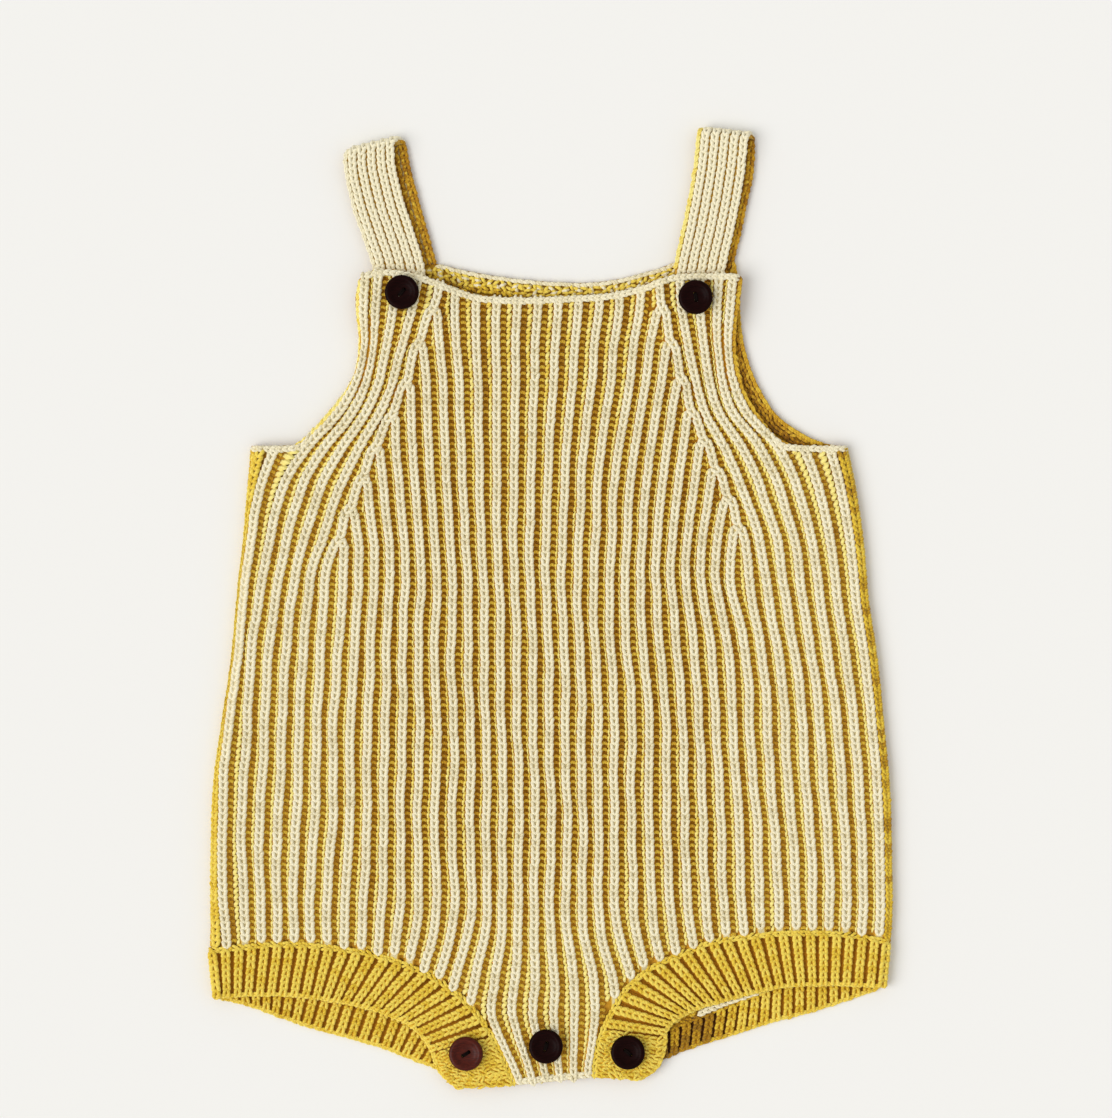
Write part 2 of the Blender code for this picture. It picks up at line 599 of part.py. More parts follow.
def strap_ring(x, height, tilt, z, angle, rise_share):
    """One cross line of a strap: ribs on its outer face over a plain inner face."""
    across = Vector((1.0, tilt, 0.0)).normalized()
    outward = Vector((0.0, math.cos(angle), math.sin(angle)))
    centre = Vector((x, height, z))
    spacing = STRAP_WIDTH / STRAP_RIBS
    ring = []
    for rib in range(STRAP_RIBS):
        groove = (rib - STRAP_RIBS / 2) * spacing
        for share, rise in ((0.0, 0.0), (0.2, 1.0), (0.8, 1.0)):
            out = STRAP_WALL / 2 + STRAP_RISE * rise * rise_share
            ring.append(centre + across * (groove + share * spacing) + outward * out)
    for share in (1.0, 1.0, 0.0, -1.0):
        out = STRAP_WALL / 2 * (1 if len(ring) == 3 * STRAP_RIBS else -1)
        ring.append(centre + across * (share * STRAP_WIDTH / 2) + outward * out)
    return ring


def make_band(name):
    """A leg band as one strip, from the front crotch end round the side fold to the back end."""
    band = BANDS[name]
    outwards = -1 if SIDE_OF[name] == "left" else 1
    middle = BAND_WALL / 2
    upper = 2 * BAND_FOLD + middle
    stations = []
    for row in flat_rows(name, "front"):
        to_fold = math.hypot(row[0] - band["front"][-1].seam_x, row[1] - band["front"][-1].seam_height)
        z = FRONT_FLOOR + middle + smooth_step(1 - to_fold / BAND_SETTLE) * (upper - FRONT_FLOOR - middle)
        stations.append((row, z, math.pi / 2))
    for turn in np.linspace(0, 1, 7):
        angle = math.pi * (0.5 - turn)
        row = np.array(band["front"][-1])
        row[[0, 2]] += outwards * (BAND_FOLD * math.cos(angle) - BAND_REACH)
        stations.append((row, middle + BAND_FOLD * (1 + math.sin(angle)), angle))
    for row in flat_rows(name, "back"):
        stations.append((row, middle, -math.pi / 2))
    rings = [band_ring(*station, outwards, crest=index % 2) for index, station in enumerate(stations)]
    return loft(name, rings, "mustard_rib")


def flat_rows(name, half):
    """Rows of a band's flat half at half its rib spacing, measured along the middle of the band."""
    fine = along(BANDS[name][half], 400)
    fold_x = abs(BANDS[name]["front"][-1].seam_x) - BAND_REACH - BAND_RIB / 4
    fine = fine[np.abs(fine[:, [0, 2]]).max(axis=1) < fold_x]
    middle = (fine[:, :2] + fine[:, 2:]) / 2
    length = np.concatenate([[0], np.cumsum(np.linalg.norm(np.diff(middle, axis=0), axis=1))])
    count = round(length[-1] / (BAND_RIB / 2)) + 1
    at = np.linspace(0, length[-1], count)
    return np.stack([np.interp(at, length, fine[:, column]) for column in range(4)], axis=1)


def band_ring(row, z, angle, outwards, crest):
    """One cross line of a leg band. Its ribs rise on whichever face shows from above."""
    seam, edge = Vector((row[0], row[1], z)), Vector((row[2], row[3], z))
    outward = Vector((outwards * math.cos(angle), 0.0, math.sin(angle)))
    half = BAND_WALL / 2
    shown = max(math.sin(angle), 0.0)
    outer = half + BAND_RISE * crest * shown
    inner = half - BAND_RISE * (1 - crest) * max(-math.sin(angle), 0.0)
    near = seam.lerp(edge, EDGE_SHARE)
    return [
        seam + outward * outer,
        near + outward * outer,
        edge,
        near - outward * inner,
        seam - outward * inner,
    ]


def button_mesh():
    """A dished round button with two holes, its underside at height 0."""
    rim, floor = 0.7 * BUTTON_RADIUS, BUTTON_THICKNESS - BUTTON_DISH
    profile = [
        (0.0, floor), (0.5 * BUTTON_RADIUS, floor), (rim, BUTTON_THICKNESS),
        (0.88 * BUTTON_RADIUS, BUTTON_THICKNESS), (BUTTON_RADIUS, 0.72 * BUTTON_THICKNESS),
        (BUTTON_RADIUS, 0.4 * BUTTON_THICKNESS), (0.8 * BUTTON_RADIUS, 0.0), (0.0, 0.0),
    ]
    data = bpy.data.meshes.new("button_profile")
    edges = [(index, index + 1) for index in range(len(profile) - 1)]
    data.from_pydata([(r, 0.0, z) for r, z in profile], edges, [])
    turned = placed_in("cutters", "button_blank", data, None)
    screw = turned.modifiers.new("turn", "SCREW")
    screw.steps = screw.render_steps = 20
    screw.use_merge_vertices = True
    screw.merge_threshold = 1e-5
    for number, way in enumerate((-1, 1)):
        bpy.ops.mesh.primitive_cylinder_add(
            vertices=8, radius=HOLE_RADIUS, depth=4 * BUTTON_THICKNESS,
            location=(way * HOLE_OFFSET, 0.0, 0.0),
        )
        cutter = bpy.context.active_object
        cutter.name = f"button_hole_{number}"
        cutter.hide_render = True
        cutter.display_type = "WIRE"
        for collection in cutter.users_collection:
            collection.objects.unlink(cutter)
        bpy.data.collections["cutters"].objects.link(cutter)
        cut = turned.modifiers.new(cutter.name, "BOOLEAN")
        cut.operation = "DIFFERENCE"
        cut.object = cutter
    turned.hide_render = True
    turned.display_type = "WIRE"
    bpy.context.view_layer.update()
    graph = bpy.context.evaluated_depsgraph_get()
    made = bpy.data.meshes.new_from_object(turned.evaluated_get(graph))
    made.name = "button"
    made.materials.clear()
    made.materials.append(material("dark_button"))
    made.shade_smooth()
    made.set_sharp_from_angle(angle=math.radians(40))
    return made


def button_floor(x, height):
    """The highest point of the knit under a button, plus a gap."""
    spots = [
        (x + radius * math.cos(turn), height + radius * math.sin(turn))
        for radius in np.linspace(0, BUTTON_RADIUS, 4)
        for turn in np.linspace(0, 2 * math.pi, 12, endpoint=False)
    ]
    knit = max(front_inside(*spot) + FRONT_WALL + RIB_RISE for spot in spots)
    return knit + GAP


def make_buttons():
    data = button_mesh()
    made = []
    for row in BUTTONS:
        button = placed_in("romper", row.name, data, None)
        button.location = (row.x, row.height, button_floor(row.x, row.height))
        made.append(button)
    return made


def stand_on_origin(pieces):
    """Moves every piece so that the middle of the whole box, at its foot, is the origin."""
    bpy.context.view_layer.update()
    corners = np.array([piece.matrix_world @ v.co for piece in pieces for v in piece.data.vertices])
    low, high = corners.min(axis=0), corners.max(axis=0)
    for piece in pieces:
        piece.location -= Vector(((low[0] + high[0]) / 2, (low[1] + high[1]) / 2, low[2]))


def main():
    for old in list(bpy.data.objects):
        bpy.data.objects.remove(old)
    pieces = [make_back(), make_front()]
    pieces += [make_strap(name) for name in STRAPS]
    pieces += [make_band(name) for name in BANDS]
    pieces += make_buttons()
    stand_on_origin(pieces)


main()
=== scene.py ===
# %% [markdown]
# # A baby romper in two-colour rib knit, laid flat
#
# The real garment is machine knitted from two cotton yarns. On the right side every rib is a column of
# cream stitches, and the furrow between two ribs is mustard. The leg bands are plain mustard rib, picked
# up along the leg openings. Five dark polished buttons close the straps and the crotch.
#
# Rib knit could be painted on a flat sheet with a bump map. From a step away that looks printed,
# because real ribs hide the furrow behind them as the eye moves. So each stitch is a length of real
# tube here, and a thin sheet of cloth lies under the stitches where the light should not pass.

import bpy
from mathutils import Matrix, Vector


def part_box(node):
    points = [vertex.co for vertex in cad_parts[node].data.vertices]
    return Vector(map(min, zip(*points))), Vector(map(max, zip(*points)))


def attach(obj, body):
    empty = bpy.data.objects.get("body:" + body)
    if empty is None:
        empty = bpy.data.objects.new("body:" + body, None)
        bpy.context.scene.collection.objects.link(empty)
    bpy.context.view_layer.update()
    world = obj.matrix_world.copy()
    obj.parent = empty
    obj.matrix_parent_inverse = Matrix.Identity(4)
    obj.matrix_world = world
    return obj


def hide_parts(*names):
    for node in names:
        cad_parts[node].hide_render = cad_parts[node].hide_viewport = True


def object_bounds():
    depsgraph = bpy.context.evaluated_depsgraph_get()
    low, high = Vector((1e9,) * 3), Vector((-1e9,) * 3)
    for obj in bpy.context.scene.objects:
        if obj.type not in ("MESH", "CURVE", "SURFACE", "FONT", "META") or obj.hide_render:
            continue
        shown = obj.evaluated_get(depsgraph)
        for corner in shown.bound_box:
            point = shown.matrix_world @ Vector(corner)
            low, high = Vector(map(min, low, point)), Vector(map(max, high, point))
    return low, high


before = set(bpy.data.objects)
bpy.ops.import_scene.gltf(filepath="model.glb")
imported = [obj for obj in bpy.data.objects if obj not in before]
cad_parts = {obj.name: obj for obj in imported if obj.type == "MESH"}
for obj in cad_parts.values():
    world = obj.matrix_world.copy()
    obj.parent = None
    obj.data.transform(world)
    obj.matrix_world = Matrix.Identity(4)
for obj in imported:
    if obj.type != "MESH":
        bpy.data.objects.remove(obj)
cad_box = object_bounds()
print("CAD box", [round(1000 * value, 1) for value in (*cad_box[0], *cad_box[1])])

# %% Modules and units
import math

import bmesh
import bpy
import numpy as np
from mathutils import Vector
from mathutils.geometry import delaunay_2d_cdt

MM = 0.001

# %% [markdown]
# ## Where things are
#
# The pattern tables are in millimetres. Their x runs across the garment and their y up from the crotch
# edge. A table could be kept as a curve object, but plain rows are easier to read and to correct, and a
# smooth line through a few rows is all that a knitted edge needs.

# %% From the pattern to the frame
FOLD_X, CROTCH_Y = -150.3, 0.6  # the left band's side fold and the lowest edge, in the pattern
shift_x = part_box("leg_band_left")[0].x - FOLD_X * MM
shift_y = cad_box[0].y - CROTCH_Y * MM


def at_height(y):
    """A height of the pattern, or several, as y in the frame."""
    return np.asarray(y) * MM + shift_y


def table(kinds, rows):
    """Rows in millimetres as metres in the frame. Columns are x, y or t, a plain share."""
    units = {"x": (MM, shift_x), "y": (MM, shift_y), "t": (1.0, 0.0)}
    scale, shift = np.array([units[kind] for kind in kinds]).T
    return np.array(rows) * scale + shift


print(f"pattern moved by {shift_x / MM:.2f}, {shift_y / MM:.2f} mm")

# %% The ribs of the front: y, then x of the first, raglan, inner and last ribs
RIBS = 39
FIRST, RAGLAN_LEFT, INNER_LEFT, INNER_RIGHT, RAGLAN_RIGHT, LAST = 1, 5, 14, 23, 32, 36
RIB_ROWS = table("yxxxxxx", [
    (0.0, -134.2, -105.2, -23.3, 27.6, 101.2, 129.8),
    (10.0, -134.2, -105.2, -29.0, 29.9, 101.2, 129.8),
    (21.1, -134.2, -105.2, -36.8, 34.2, 101.2, 129.8),
    (33.0, -134.2, -105.2, -43.6, 37.6, 101.2, 129.8),
    (47.5, -134.2, -105.2, -41.8, 36.5, 101.2, 129.8),
    (69.5, -134.2, -105.2, -36.1, 29.9, 101.2, 129.8),
    (126.7, -134.9, -103.2, -35.0, 28.6, 97.2, 128.9),
    (170.7, -132.2, -101.4, -35.2, 27.7, 95.0, 124.5),
    (214.7, -128.0, -99.4, -36.1, 26.4, 88.9, 118.8),
    (227.9, -125.8, -97.2, -36.5, 26.4, 87.1, 116.6),
    (240.7, -123.2, -92.0, -37.0, 26.8, 84.5, 114.6),
    (255.2, -119.5, -87.1, -37.4, 27.4, 79.0, 110.9),
    (269.3, -114.8, -81.8, -38.2, 28.6, 73.6, 106.9),
    (282.9, -105.6, -75.7, -38.9, 30.6, 68.0, 99.4),
    (296.6, -93.4, -68.8, -39.6, 32.8, 62.3, 86.7),
    (311.1, -85.0, -62.3, -39.8, 35.1, 57.8, 80.1),
    (326.5, -81.4, -57.6, -40.8, 36.5, 53.2, 78.1),
    (341.9, -81.6, -51.2, -41.4, 39.2, 48.8, 78.8),
    (360.0, -81.0, -47.0, -40.9, 40.2, 47.2, 80.8),
])
# The ribs beyond the first and the last one, as shares of the way on to the side. At the left it is one
# rib, whose share changes with the height
OUTER_LEFT = table("yt", [
    (62.0, 0.52), (82.0, 0.62), (126.0, 0.64), (150.0, 0.74), (173.0, 0.77), (201.0, 0.84),
    (215.0, 0.85), (233.0, 0.77), (250.0, 0.71), (272.0, 0.60), (283.0, 0.56),
])
OUTER_RIGHT_SHARES = (0.36, 0.74)
# The heights at which a raglan rib takes in one rib after the other
DECREASES = {
    (RAGLAN_LEFT, INNER_LEFT): (240.7, 254.4, 268.1, 281.3, 295.0, 309.6, 327.0, 341.7),
    (RAGLAN_RIGHT, INNER_RIGHT): (246.3, 258.9, 271.5, 284.1, 296.8, 311.2, 327.4, 342.2),
}

# %% The edges of the front and the back
SIDES = table("yxx", [
    (62.0, -149.0, 149.0), (69.5, -148.9, 149.7), (102.5, -148.8, 149.9), (135.5, -147.4, 148.8),
    (161.9, -143.6, 146.3), (188.3, -139.2, 143.7), (214.7, -136.8, 139.8), (240.7, -134.4, 137.5),
    (267.5, -132.4, 133.5), (282.5, -131.1, 130.2),
])
LOWEST_SIDE, UNDERARM = SIDES[0, 0], SIDES[-1, 0]
FRONT_LEFT_ARMHOLE = table("xy", [
    (-131.1, 282.5), (-111.8, 282.9), (-106.0, 287.3), (-99.9, 293.9), (-94.2, 300.5), (-89.3, 307.1),
    (-85.4, 315.0), (-83.8, 326.9), (-84.8, 338.0), (-85.3, 347.0), (-84.0, 354.6),
])
FRONT_NECK = table("xy", [
    (-84.0, 354.6), (-80.1, 358.6), (-70.0, 359.9), (-56.3, 357.3), (-42.9, 352.5), (-29.5, 348.5),
    (-9.2, 347.8), (8.4, 348.5), (24.6, 349.5), (38.1, 352.2), (47.5, 355.5), (57.6, 357.9),
    (80.5, 357.9), (84.5, 355.5),
])
FRONT_RIGHT_ARMHOLE = table("xy", [
    (84.5, 355.5), (83.8, 349.4), (81.6, 333.5), (82.0, 320.3), (85.3, 307.1), (91.5, 296.1),
    (99.0, 286.6), (105.6, 283.0), (130.2, 282.5),
])
BACK_LEFT_ARMHOLE = table("xy", [
    (-131.1, 282.1), (-110.9, 282.5), (-104.7, 287.3), (-92.8, 300.5), (-88.0, 307.1), (-84.0, 315.0),
    (-82.3, 326.9), (-82.2, 340.0), (-79.2, 351.1), (-72.0, 360.8),
])
BACK_NECK = table("xy", [
    (-49.7, 362.6), (-36.1, 359.3), (-15.8, 356.0), (8.4, 354.2), (24.6, 354.9), (38.3, 357.7),
    (47.5, 360.4), (56.0, 363.7),
])
BACK_RIGHT_ARMHOLE = table("xy", [
    (81.2, 363.7), (82.0, 359.9), (83.2, 352.0), (83.8, 338.0), (85.4, 326.9), (89.3, 313.7),
    (96.4, 300.5), (102.1, 293.9), (112.2, 287.3), (120.0, 283.8), (130.2, 282.1),
])

# %% The leg bands: seam x, y and free edge x, y, from the crotch to the side and back again
BANDS = {
    "leg_band_left": {
        "front": table("xyxy", [
            (-15.0, 2.0, -41.4, 0.6), (-19.7, 13.2, -48.7, 7.0), (-24.5, 22.9, -52.2, 15.0),
            (-31.0, 32.6, -56.2, 22.2), (-40.3, 42.2, -63.4, 28.6), (-51.3, 49.7, -71.3, 32.1),
            (-61.9, 55.0, -79.2, 34.8), (-77.7, 60.0, -90.2, 37.4), (-99.0, 63.3, -104.7, 39.6),
            (-114.8, 64.5, -118.4, 40.7), (-130.7, 63.5, -132.5, 40.7), (-150.3, 61.6, -147.8, 39.6),
        ]),
        "back": table("xyxy", [
            (-150.3, 61.6, -147.8, 39.6), (-132.0, 60.0, -131.1, 35.4), (-114.4, 56.3, -118.8, 30.8),
            (-96.8, 51.0, -104.3, 26.0), (-80.1, 44.9, -88.0, 21.6), (-63.8, 38.7, -72.2, 16.8),
            (-49.3, 32.6, -61.2, 12.4), (-36.1, 25.5, -49.3, 8.0), (-24.3, 16.7, -40.0, 4.7),
            (-19.0, 7.0, -33.0, 3.0),
        ]),
    },
    "leg_band_right": {
        "front": table("xyxy", [
            (18.8, 5.3, 40.0, 4.4), (19.0, 12.0, 47.1, 8.8), (20.2, 19.0, 50.8, 15.8),
            (22.2, 25.0, 51.4, 21.5), (24.5, 30.3, 52.0, 25.8), (29.3, 39.0, 55.4, 29.9),
            (36.4, 48.1, 60.7, 33.0), (46.5, 55.1, 67.3, 35.6), (58.1, 60.4, 74.8, 37.8),
            (71.3, 65.3, 84.0, 40.2), (86.7, 67.5, 94.6, 42.8), (101.6, 69.2, 105.6, 44.7),
            (121.9, 69.2, 121.4, 45.3), (136.8, 67.5, 135.1, 44.9), (149.7, 65.6, 147.6, 44.4),
        ]),
        "back": table("xyxy", [
            (149.7, 65.6, 147.6, 44.4), (132.0, 59.4, 132.0, 38.8), (116.6, 52.8, 116.6, 33.7),
            (97.7, 45.3, 96.8, 28.5), (83.6, 39.2, 81.4, 23.5), (68.2, 33.4, 66.4, 18.8),
            (57.2, 29.0, 56.3, 15.2), (44.0, 23.8, 47.5, 11.5), (30.8, 16.7, 39.6, 7.9),
            (23.2, 9.0, 32.2, 5.7),
        ]),
    },
}
OUTWARDS = {"leg_band_left": -1, "leg_band_right": 1}

# %% The straps: x and y of the middle line and its tilt, up over the front and down at the back
STRAPS = {
    "strap_left": {
        "front": table("xyt", [
            (-63.4, 342.3, 0.00), (-64.7, 351.1, 0.02), (-66.9, 363.4, 0.08), (-70.8, 375.3, 0.14),
            (-75.2, 388.5, 0.20), (-78.6, 403.0, 0.23), (-79.2, 412.4, 0.24),
        ]),
        "back": table("xyt", [
            (-73.8, 412.4, 0.24), (-72.2, 403.0, 0.22), (-68.4, 388.5, 0.16), (-64.6, 375.3, 0.10),
            (-60.9, 362.1, 0.08),
        ]),
    },
    "strap_right": {
        "front": table("xyt", [
            (63.0, 342.3, 0.00), (64.2, 351.1, -0.02), (66.4, 363.4, -0.05), (69.1, 375.3, -0.08),
            (71.8, 388.5, -0.10), (74.2, 403.0, -0.11), (75.8, 417.9, -0.11),
        ]),
        "back": table("xyt", [
            (79.2, 417.9, -0.11), (78.4, 403.0, -0.10), (75.4, 388.5, -0.08), (72.7, 375.3, -0.04),
            (70.0, 364.0, 0.00),
        ]),
    },
}
print(f"{len(RIB_ROWS)} rows of ribs, {len(BANDS)} bands, {len(STRAPS)} straps")


# %% Reading a table smoothly
def read(places, values, at):
    """Columns of values given at rising places, read smoothly at other places."""
    slopes = np.gradient(values, places, axis=0)
    at = np.clip(at, places[0], places[-1])
    low = np.clip(np.searchsorted(places, at) - 1, 0, len(places) - 2)
    step = (places[low + 1] - places[low])[:, None]
    t = (at - places[low])[:, None] / step
    return (
        values[low] * (1 + 2 * t) * (1 - t) ** 2
        + slopes[low] * step * t * (1 - t) ** 2
        + values[low + 1] * t * t * (3 - 2 * t)
        + slopes[low + 1] * step * t * t * (t - 1)
    )


def along(rows, count):
    """A table read at even steps of its row number."""
    return read(np.arange(float(len(rows))), rows, np.linspace(0.0, len(rows) - 1.0, count))


def smooth_step(t):
    """From 0 to 1 as t does, with a soft start and end."""
    t = np.clip(t, 0.0, 1.0)
    return t * t * (3 - 2 * t)


# %% Thicknesses of the cloth, and how its layers lie
GAP, BACK_WALL, FRONT_WALL, RIB_RISE = 0.3 * MM, 2.4 * MM, 2.2 * MM, 1.0 * MM
FRONT_FLOOR = BACK_WALL + GAP
# The middle of the front swells, and both panels turn in at their side seams
CROWN, CROWN_WIDTH, CROWN_LENGTH, CROWN_Y = 1.4 * MM, 135 * MM, 150 * MM, at_height(170)
SEAM_ROLL, SEAM_DEPTH = 1.4 * MM, 3.5 * MM
# A fold is a half circle. Beyond it a strip settles from the fold's height to the layer below
STRAP_WIDTH, STRAP_WALL, STRAP_RISE, STRAP_FOLD = 22.8 * MM, 2.4 * MM, 0.7 * MM, 2.2 * MM
STRAP_SETTLE, BAND_SETTLE = 18 * MM, 18 * MM
BAND_WALL, BAND_RISE, BAND_FOLD, BAND_RIB = 2.4 * MM, 0.7 * MM, 1.6 * MM, 5.3 * MM
BAND_REACH = BAND_FOLD + BAND_WALL / 2
# A strap's end raises the bib's corner over a margin round it, and less and less over a ramp
STRAP_LIFT, LIFT_MARGIN, LIFT_RAMP = STRAP_WALL + STRAP_RISE + GAP, 1.5 * MM, 15 * MM


def bump(t):
    return np.where(np.abs(t) < 1, (1 - t * t) ** 2, 0.0)


def side(y, column):
    """x of the body's side edge, with column 1 for the left and 2 for the right."""
    return read(SIDES[:, 0], SIDES[:, [column]], y)[:, 0]


def lift(x, y):
    """How far the strap ends under the bib raise it."""
    most = np.zeros_like(x)
    for strap in STRAPS.values():
        ends = strap["front"][[0, 2]]
        low_x, high_x = ends[:, 0].min() - STRAP_WIDTH / 2, ends[:, 0].max() + STRAP_WIDTH / 2
        aside = np.maximum(np.maximum(low_x - x, x - high_x), 0)
        below = np.maximum(np.maximum(ends[0, 1] - y, y - ends[1, 1]), 0)
        away = np.maximum(np.hypot(aside, below) - LIFT_MARGIN, 0)
        most = np.maximum(most, smooth_step(1 - away / LIFT_RAMP))
    return STRAP_LIFT * most


def front_inside(x, y):
    crown = CROWN * bump(x / CROWN_WIDTH) * bump((y - CROWN_Y) / CROWN_LENGTH)
    return FRONT_FLOOR + crown + lift(x, y)


def seam_roll(x, y):
    """How far a panel's face turns in towards the side seams."""
    inside = np.minimum(x - side(y, 1), side(y, 2) - x)
    rolled = SEAM_ROLL * np.clip(1 - inside / SEAM_DEPTH, 0, 1)
    return np.where(y > UNDERARM + 0.1 * MM, 0.0, rolled)


def front_crest(x, y):
    """Height of the top of the ribs of the front panel."""
    return front_inside(x, y) + FRONT_WALL + RIB_RISE - seam_roll(x, y)


print(f"front's crest at its middle: {front_crest(np.zeros(1), np.array([CROWN_Y]))[0] / MM:.1f} mm")

# %% How ribs sway and are taken in
# Ribs sway in a long and a short wave: how far, its length over 2 pi, and its turn from rib to rib
SWAYS = ((0.4 * MM, 12 * MM, 0.5), (0.18 * MM, 4.6 * MM, 1.7))
# Above one height they sway less, and below the other not at all, each over a ramp
CALM_Y, CALM_RAMP, CALMED, TAB_Y, TAB_RAMP = at_height(250), 40 * MM, 0.6, at_height(20), 30 * MM
MERGING = 0.12  # of a decrease, in which two ribs become one, above and below its height
JOINED = 3.3 * MM  # between the middles of the two ribs just before
EASE = 0.8  # of a decrease, over which the ribs below begin to lean
# Below the first decrease and above the last, the count goes on by so many more, so far apart
BEYOND, DECREASE_APART = 10, 14 * MM


def sway(y):
    """Washed knit never lies quite straight, so every rib strays a little from its even place."""
    number = np.arange(RIBS)
    strayed = sum(far * np.sin(y[:, None] / length + turn * number) for far, length, turn in SWAYS)
    strayed *= 1 - CALMED * smooth_step((y - CALM_Y) / CALM_RAMP)[:, None]
    return strayed * smooth_step((y - TAB_Y) / TAB_RAMP)[:, None]


def decreases_below(y, heights):
    """How many decreases lie below each height, counted with the parts of one between two."""
    known, count = at_height(heights), len(heights)
    far = BEYOND * DECREASE_APART
    known = np.concatenate([[known[0] - far], known, [known[-1] + far]])
    return np.interp(y, known, [1 - BEYOND, *range(1, count + 1), count + BEYOND])


def take_in(centres, strayed, level, outer, inner, count):
    """The ribs beside a raglan rib, moved as it takes them in one by one with a rising level.

    The two ribs of a decrease come side by side first, which swings the raglan rib out at each. The
    ribs farther in share the room that is left, and lean towards it before their own turn comes."""
    start, end = centres[:, [outer]], centres[:, [inner]]
    inwards, ribs = np.sign(inner - outer), abs(inner - outer)
    number = np.arange(1, ribs)
    between = outer + inwards * number
    eased = np.maximum(level + EASE, 0) ** 2 / (4 * EASE)
    gone = np.minimum(np.where(level < EASE, eased, level), count)
    aside = JOINED / 2 * smooth_step(level / 3 + 1)  # from three decreases below the first one on
    share = np.maximum(number - gone, 0) / (ribs - gone)
    beside = aside * np.interp(level - number, [-MERGING, MERGING], [1, 0])
    loose = strayed[:, between] * smooth_step(-level)
    away = (abs(end - start) - aside) * share + beside
    joints = np.arange(1, count + 1)[:, None] + (-MERGING, MERGING)
    swing = np.interp(level, [-0.5, *joints.ravel()], [0, *(count * [1, 0])])
    centres[:, [outer]] = start - inwards * JOINED / 2 * swing
    taken = level > number + MERGING
    centres[:, between] = np.where(taken, centres[:, [outer]], start + inwards * away + loose)


# %% Where each rib lies at given heights
OUTER_ROOM = 1.7 * MM  # the least distance of a rib's middle from the side
# The ribs crowd to the armholes at the bib's corners, above a height and more and more over a ramp
CROWDING_LEFT, CROWDING_RIGHT, CORNER_Y, CORNER_RAMP = 0.25, 0.2, at_height(296), 25 * MM


def ribs_at(y):
    """x of the 39 ribs at each height. A rib that a raglan rib has taken in lies on that one."""
    row = read(RIB_ROWS[:, 0], RIB_ROWS[:, 1:], y).T
    first, raglan_left, inner_left, inner_right, raglan_right, last = row[:, :, None]
    corner = smooth_step((y - CORNER_Y) / CORNER_RAMP)[:, None]
    centres = np.zeros((len(y), RIBS))
    for ribs, start, end, crowding in (
        (range(FIRST, RAGLAN_LEFT + 1), first, raglan_left, 1 + CROWDING_LEFT * corner),
        (range(INNER_LEFT, INNER_RIGHT + 1), inner_left, inner_right, 1.0),
        (range(LAST, RAGLAN_RIGHT - 1, -1), last, raglan_right, 1 + CROWDING_RIGHT * corner),
    ):
        share = np.arange(len(ribs)) / (len(ribs) - 1)
        centres[:, ribs] = start + (end - start) * share ** crowding
    strayed = sway(y)
    centres += strayed
    for (outer, inner), heights in DECREASES.items():
        level = decreases_below(y, heights)[:, None]
        take_in(centres, strayed, level, outer, inner, len(heights))
    share = read(OUTER_LEFT[:, 0], OUTER_LEFT[:, 1:], y)[:, 0]
    first, last = centres[:, FIRST], centres[:, LAST]
    outermost = first + share * (side(y, 1) - first)
    centres[:, FIRST - 1] = np.maximum(outermost, side(y, 1) + OUTER_ROOM)
    for number, share in enumerate(OUTER_RIGHT_SHARES, 1):
        centres[:, LAST + number] = last + share * (side(y, 2) - last)
    return centres


print("ribs at mid height, mm:", np.round(ribs_at(np.array([CROWN_Y]))[0] / MM, 1))


# %% Outlines of the pieces
def lengths_along(points):
    """How far along a line each of its points lies."""
    return np.concatenate([[0], np.cumsum(np.linalg.norm(np.diff(points, axis=0), axis=1))])


def sample(rows, length, at):
    """Columns of rows given at rising lengths, read in straight steps at others."""
    return np.stack([np.interp(at, length, column) for column in rows.T], axis=1)


def flat_rows(name, layer):
    """Rows of a band's flat part at half its rib spacing, measured along the middle of the band."""
    fine = along(BANDS[name][layer], 400)
    fold_x = abs(BANDS[name]["front"][-1, 0] - shift_x) - BAND_REACH - BAND_RIB / 4
    fine = fine[np.abs(fine[:, [0, 2]] - shift_x).max(axis=1) < fold_x]
    length = lengths_along((fine[:, :2] + fine[:, 2:]) / 2)
    count = round(length[-1] / (BAND_RIB / 2)) + 1
    return sample(fine, length, np.linspace(0, length[-1], count))


def leg_line(name, layer):
    """A panel's edge along a leg band, a gap inside the band's seam, from the crotch to the side."""
    rows = flat_rows(name, layer)
    if layer == "back":
        rows = rows[::-1]
    across = rows[:, :2] - rows[:, 2:]
    line = rows[:, :2] + GAP * across / np.linalg.norm(across, axis=1)[:, None]
    fold = BANDS[name]["front"][-1]
    edge = side(SIDES[:1, 0], 1 if OUTWARDS[name] < 0 else 2)[0]
    turn = fold[0] - OUTWARDS[name] * BAND_REACH
    return np.concatenate([line, [(turn, fold[1] + GAP), (edge, fold[1] + GAP)]])


def body_outline(layer, left_arm, neck, right_arm):
    """A panel's closed outline, clockwise from the left underarm."""
    y = np.linspace(UNDERARM, LOWEST_SIDE, 24)[1:-1]
    arms = [along(rows, 2 * len(rows)) for rows in (left_arm, neck, right_arm)]
    right = np.column_stack([side(y, 2), y])
    left = np.column_stack([side(y, 1), y])[::-1]
    legs = [leg_line("leg_band_right", layer)[::-1], leg_line("leg_band_left", layer)]
    points = np.concatenate([*arms, right, *legs, left])
    apart = np.linalg.norm(points - np.roll(points, 1, axis=0), axis=1) > 0.1 * MM
    return points[apart]


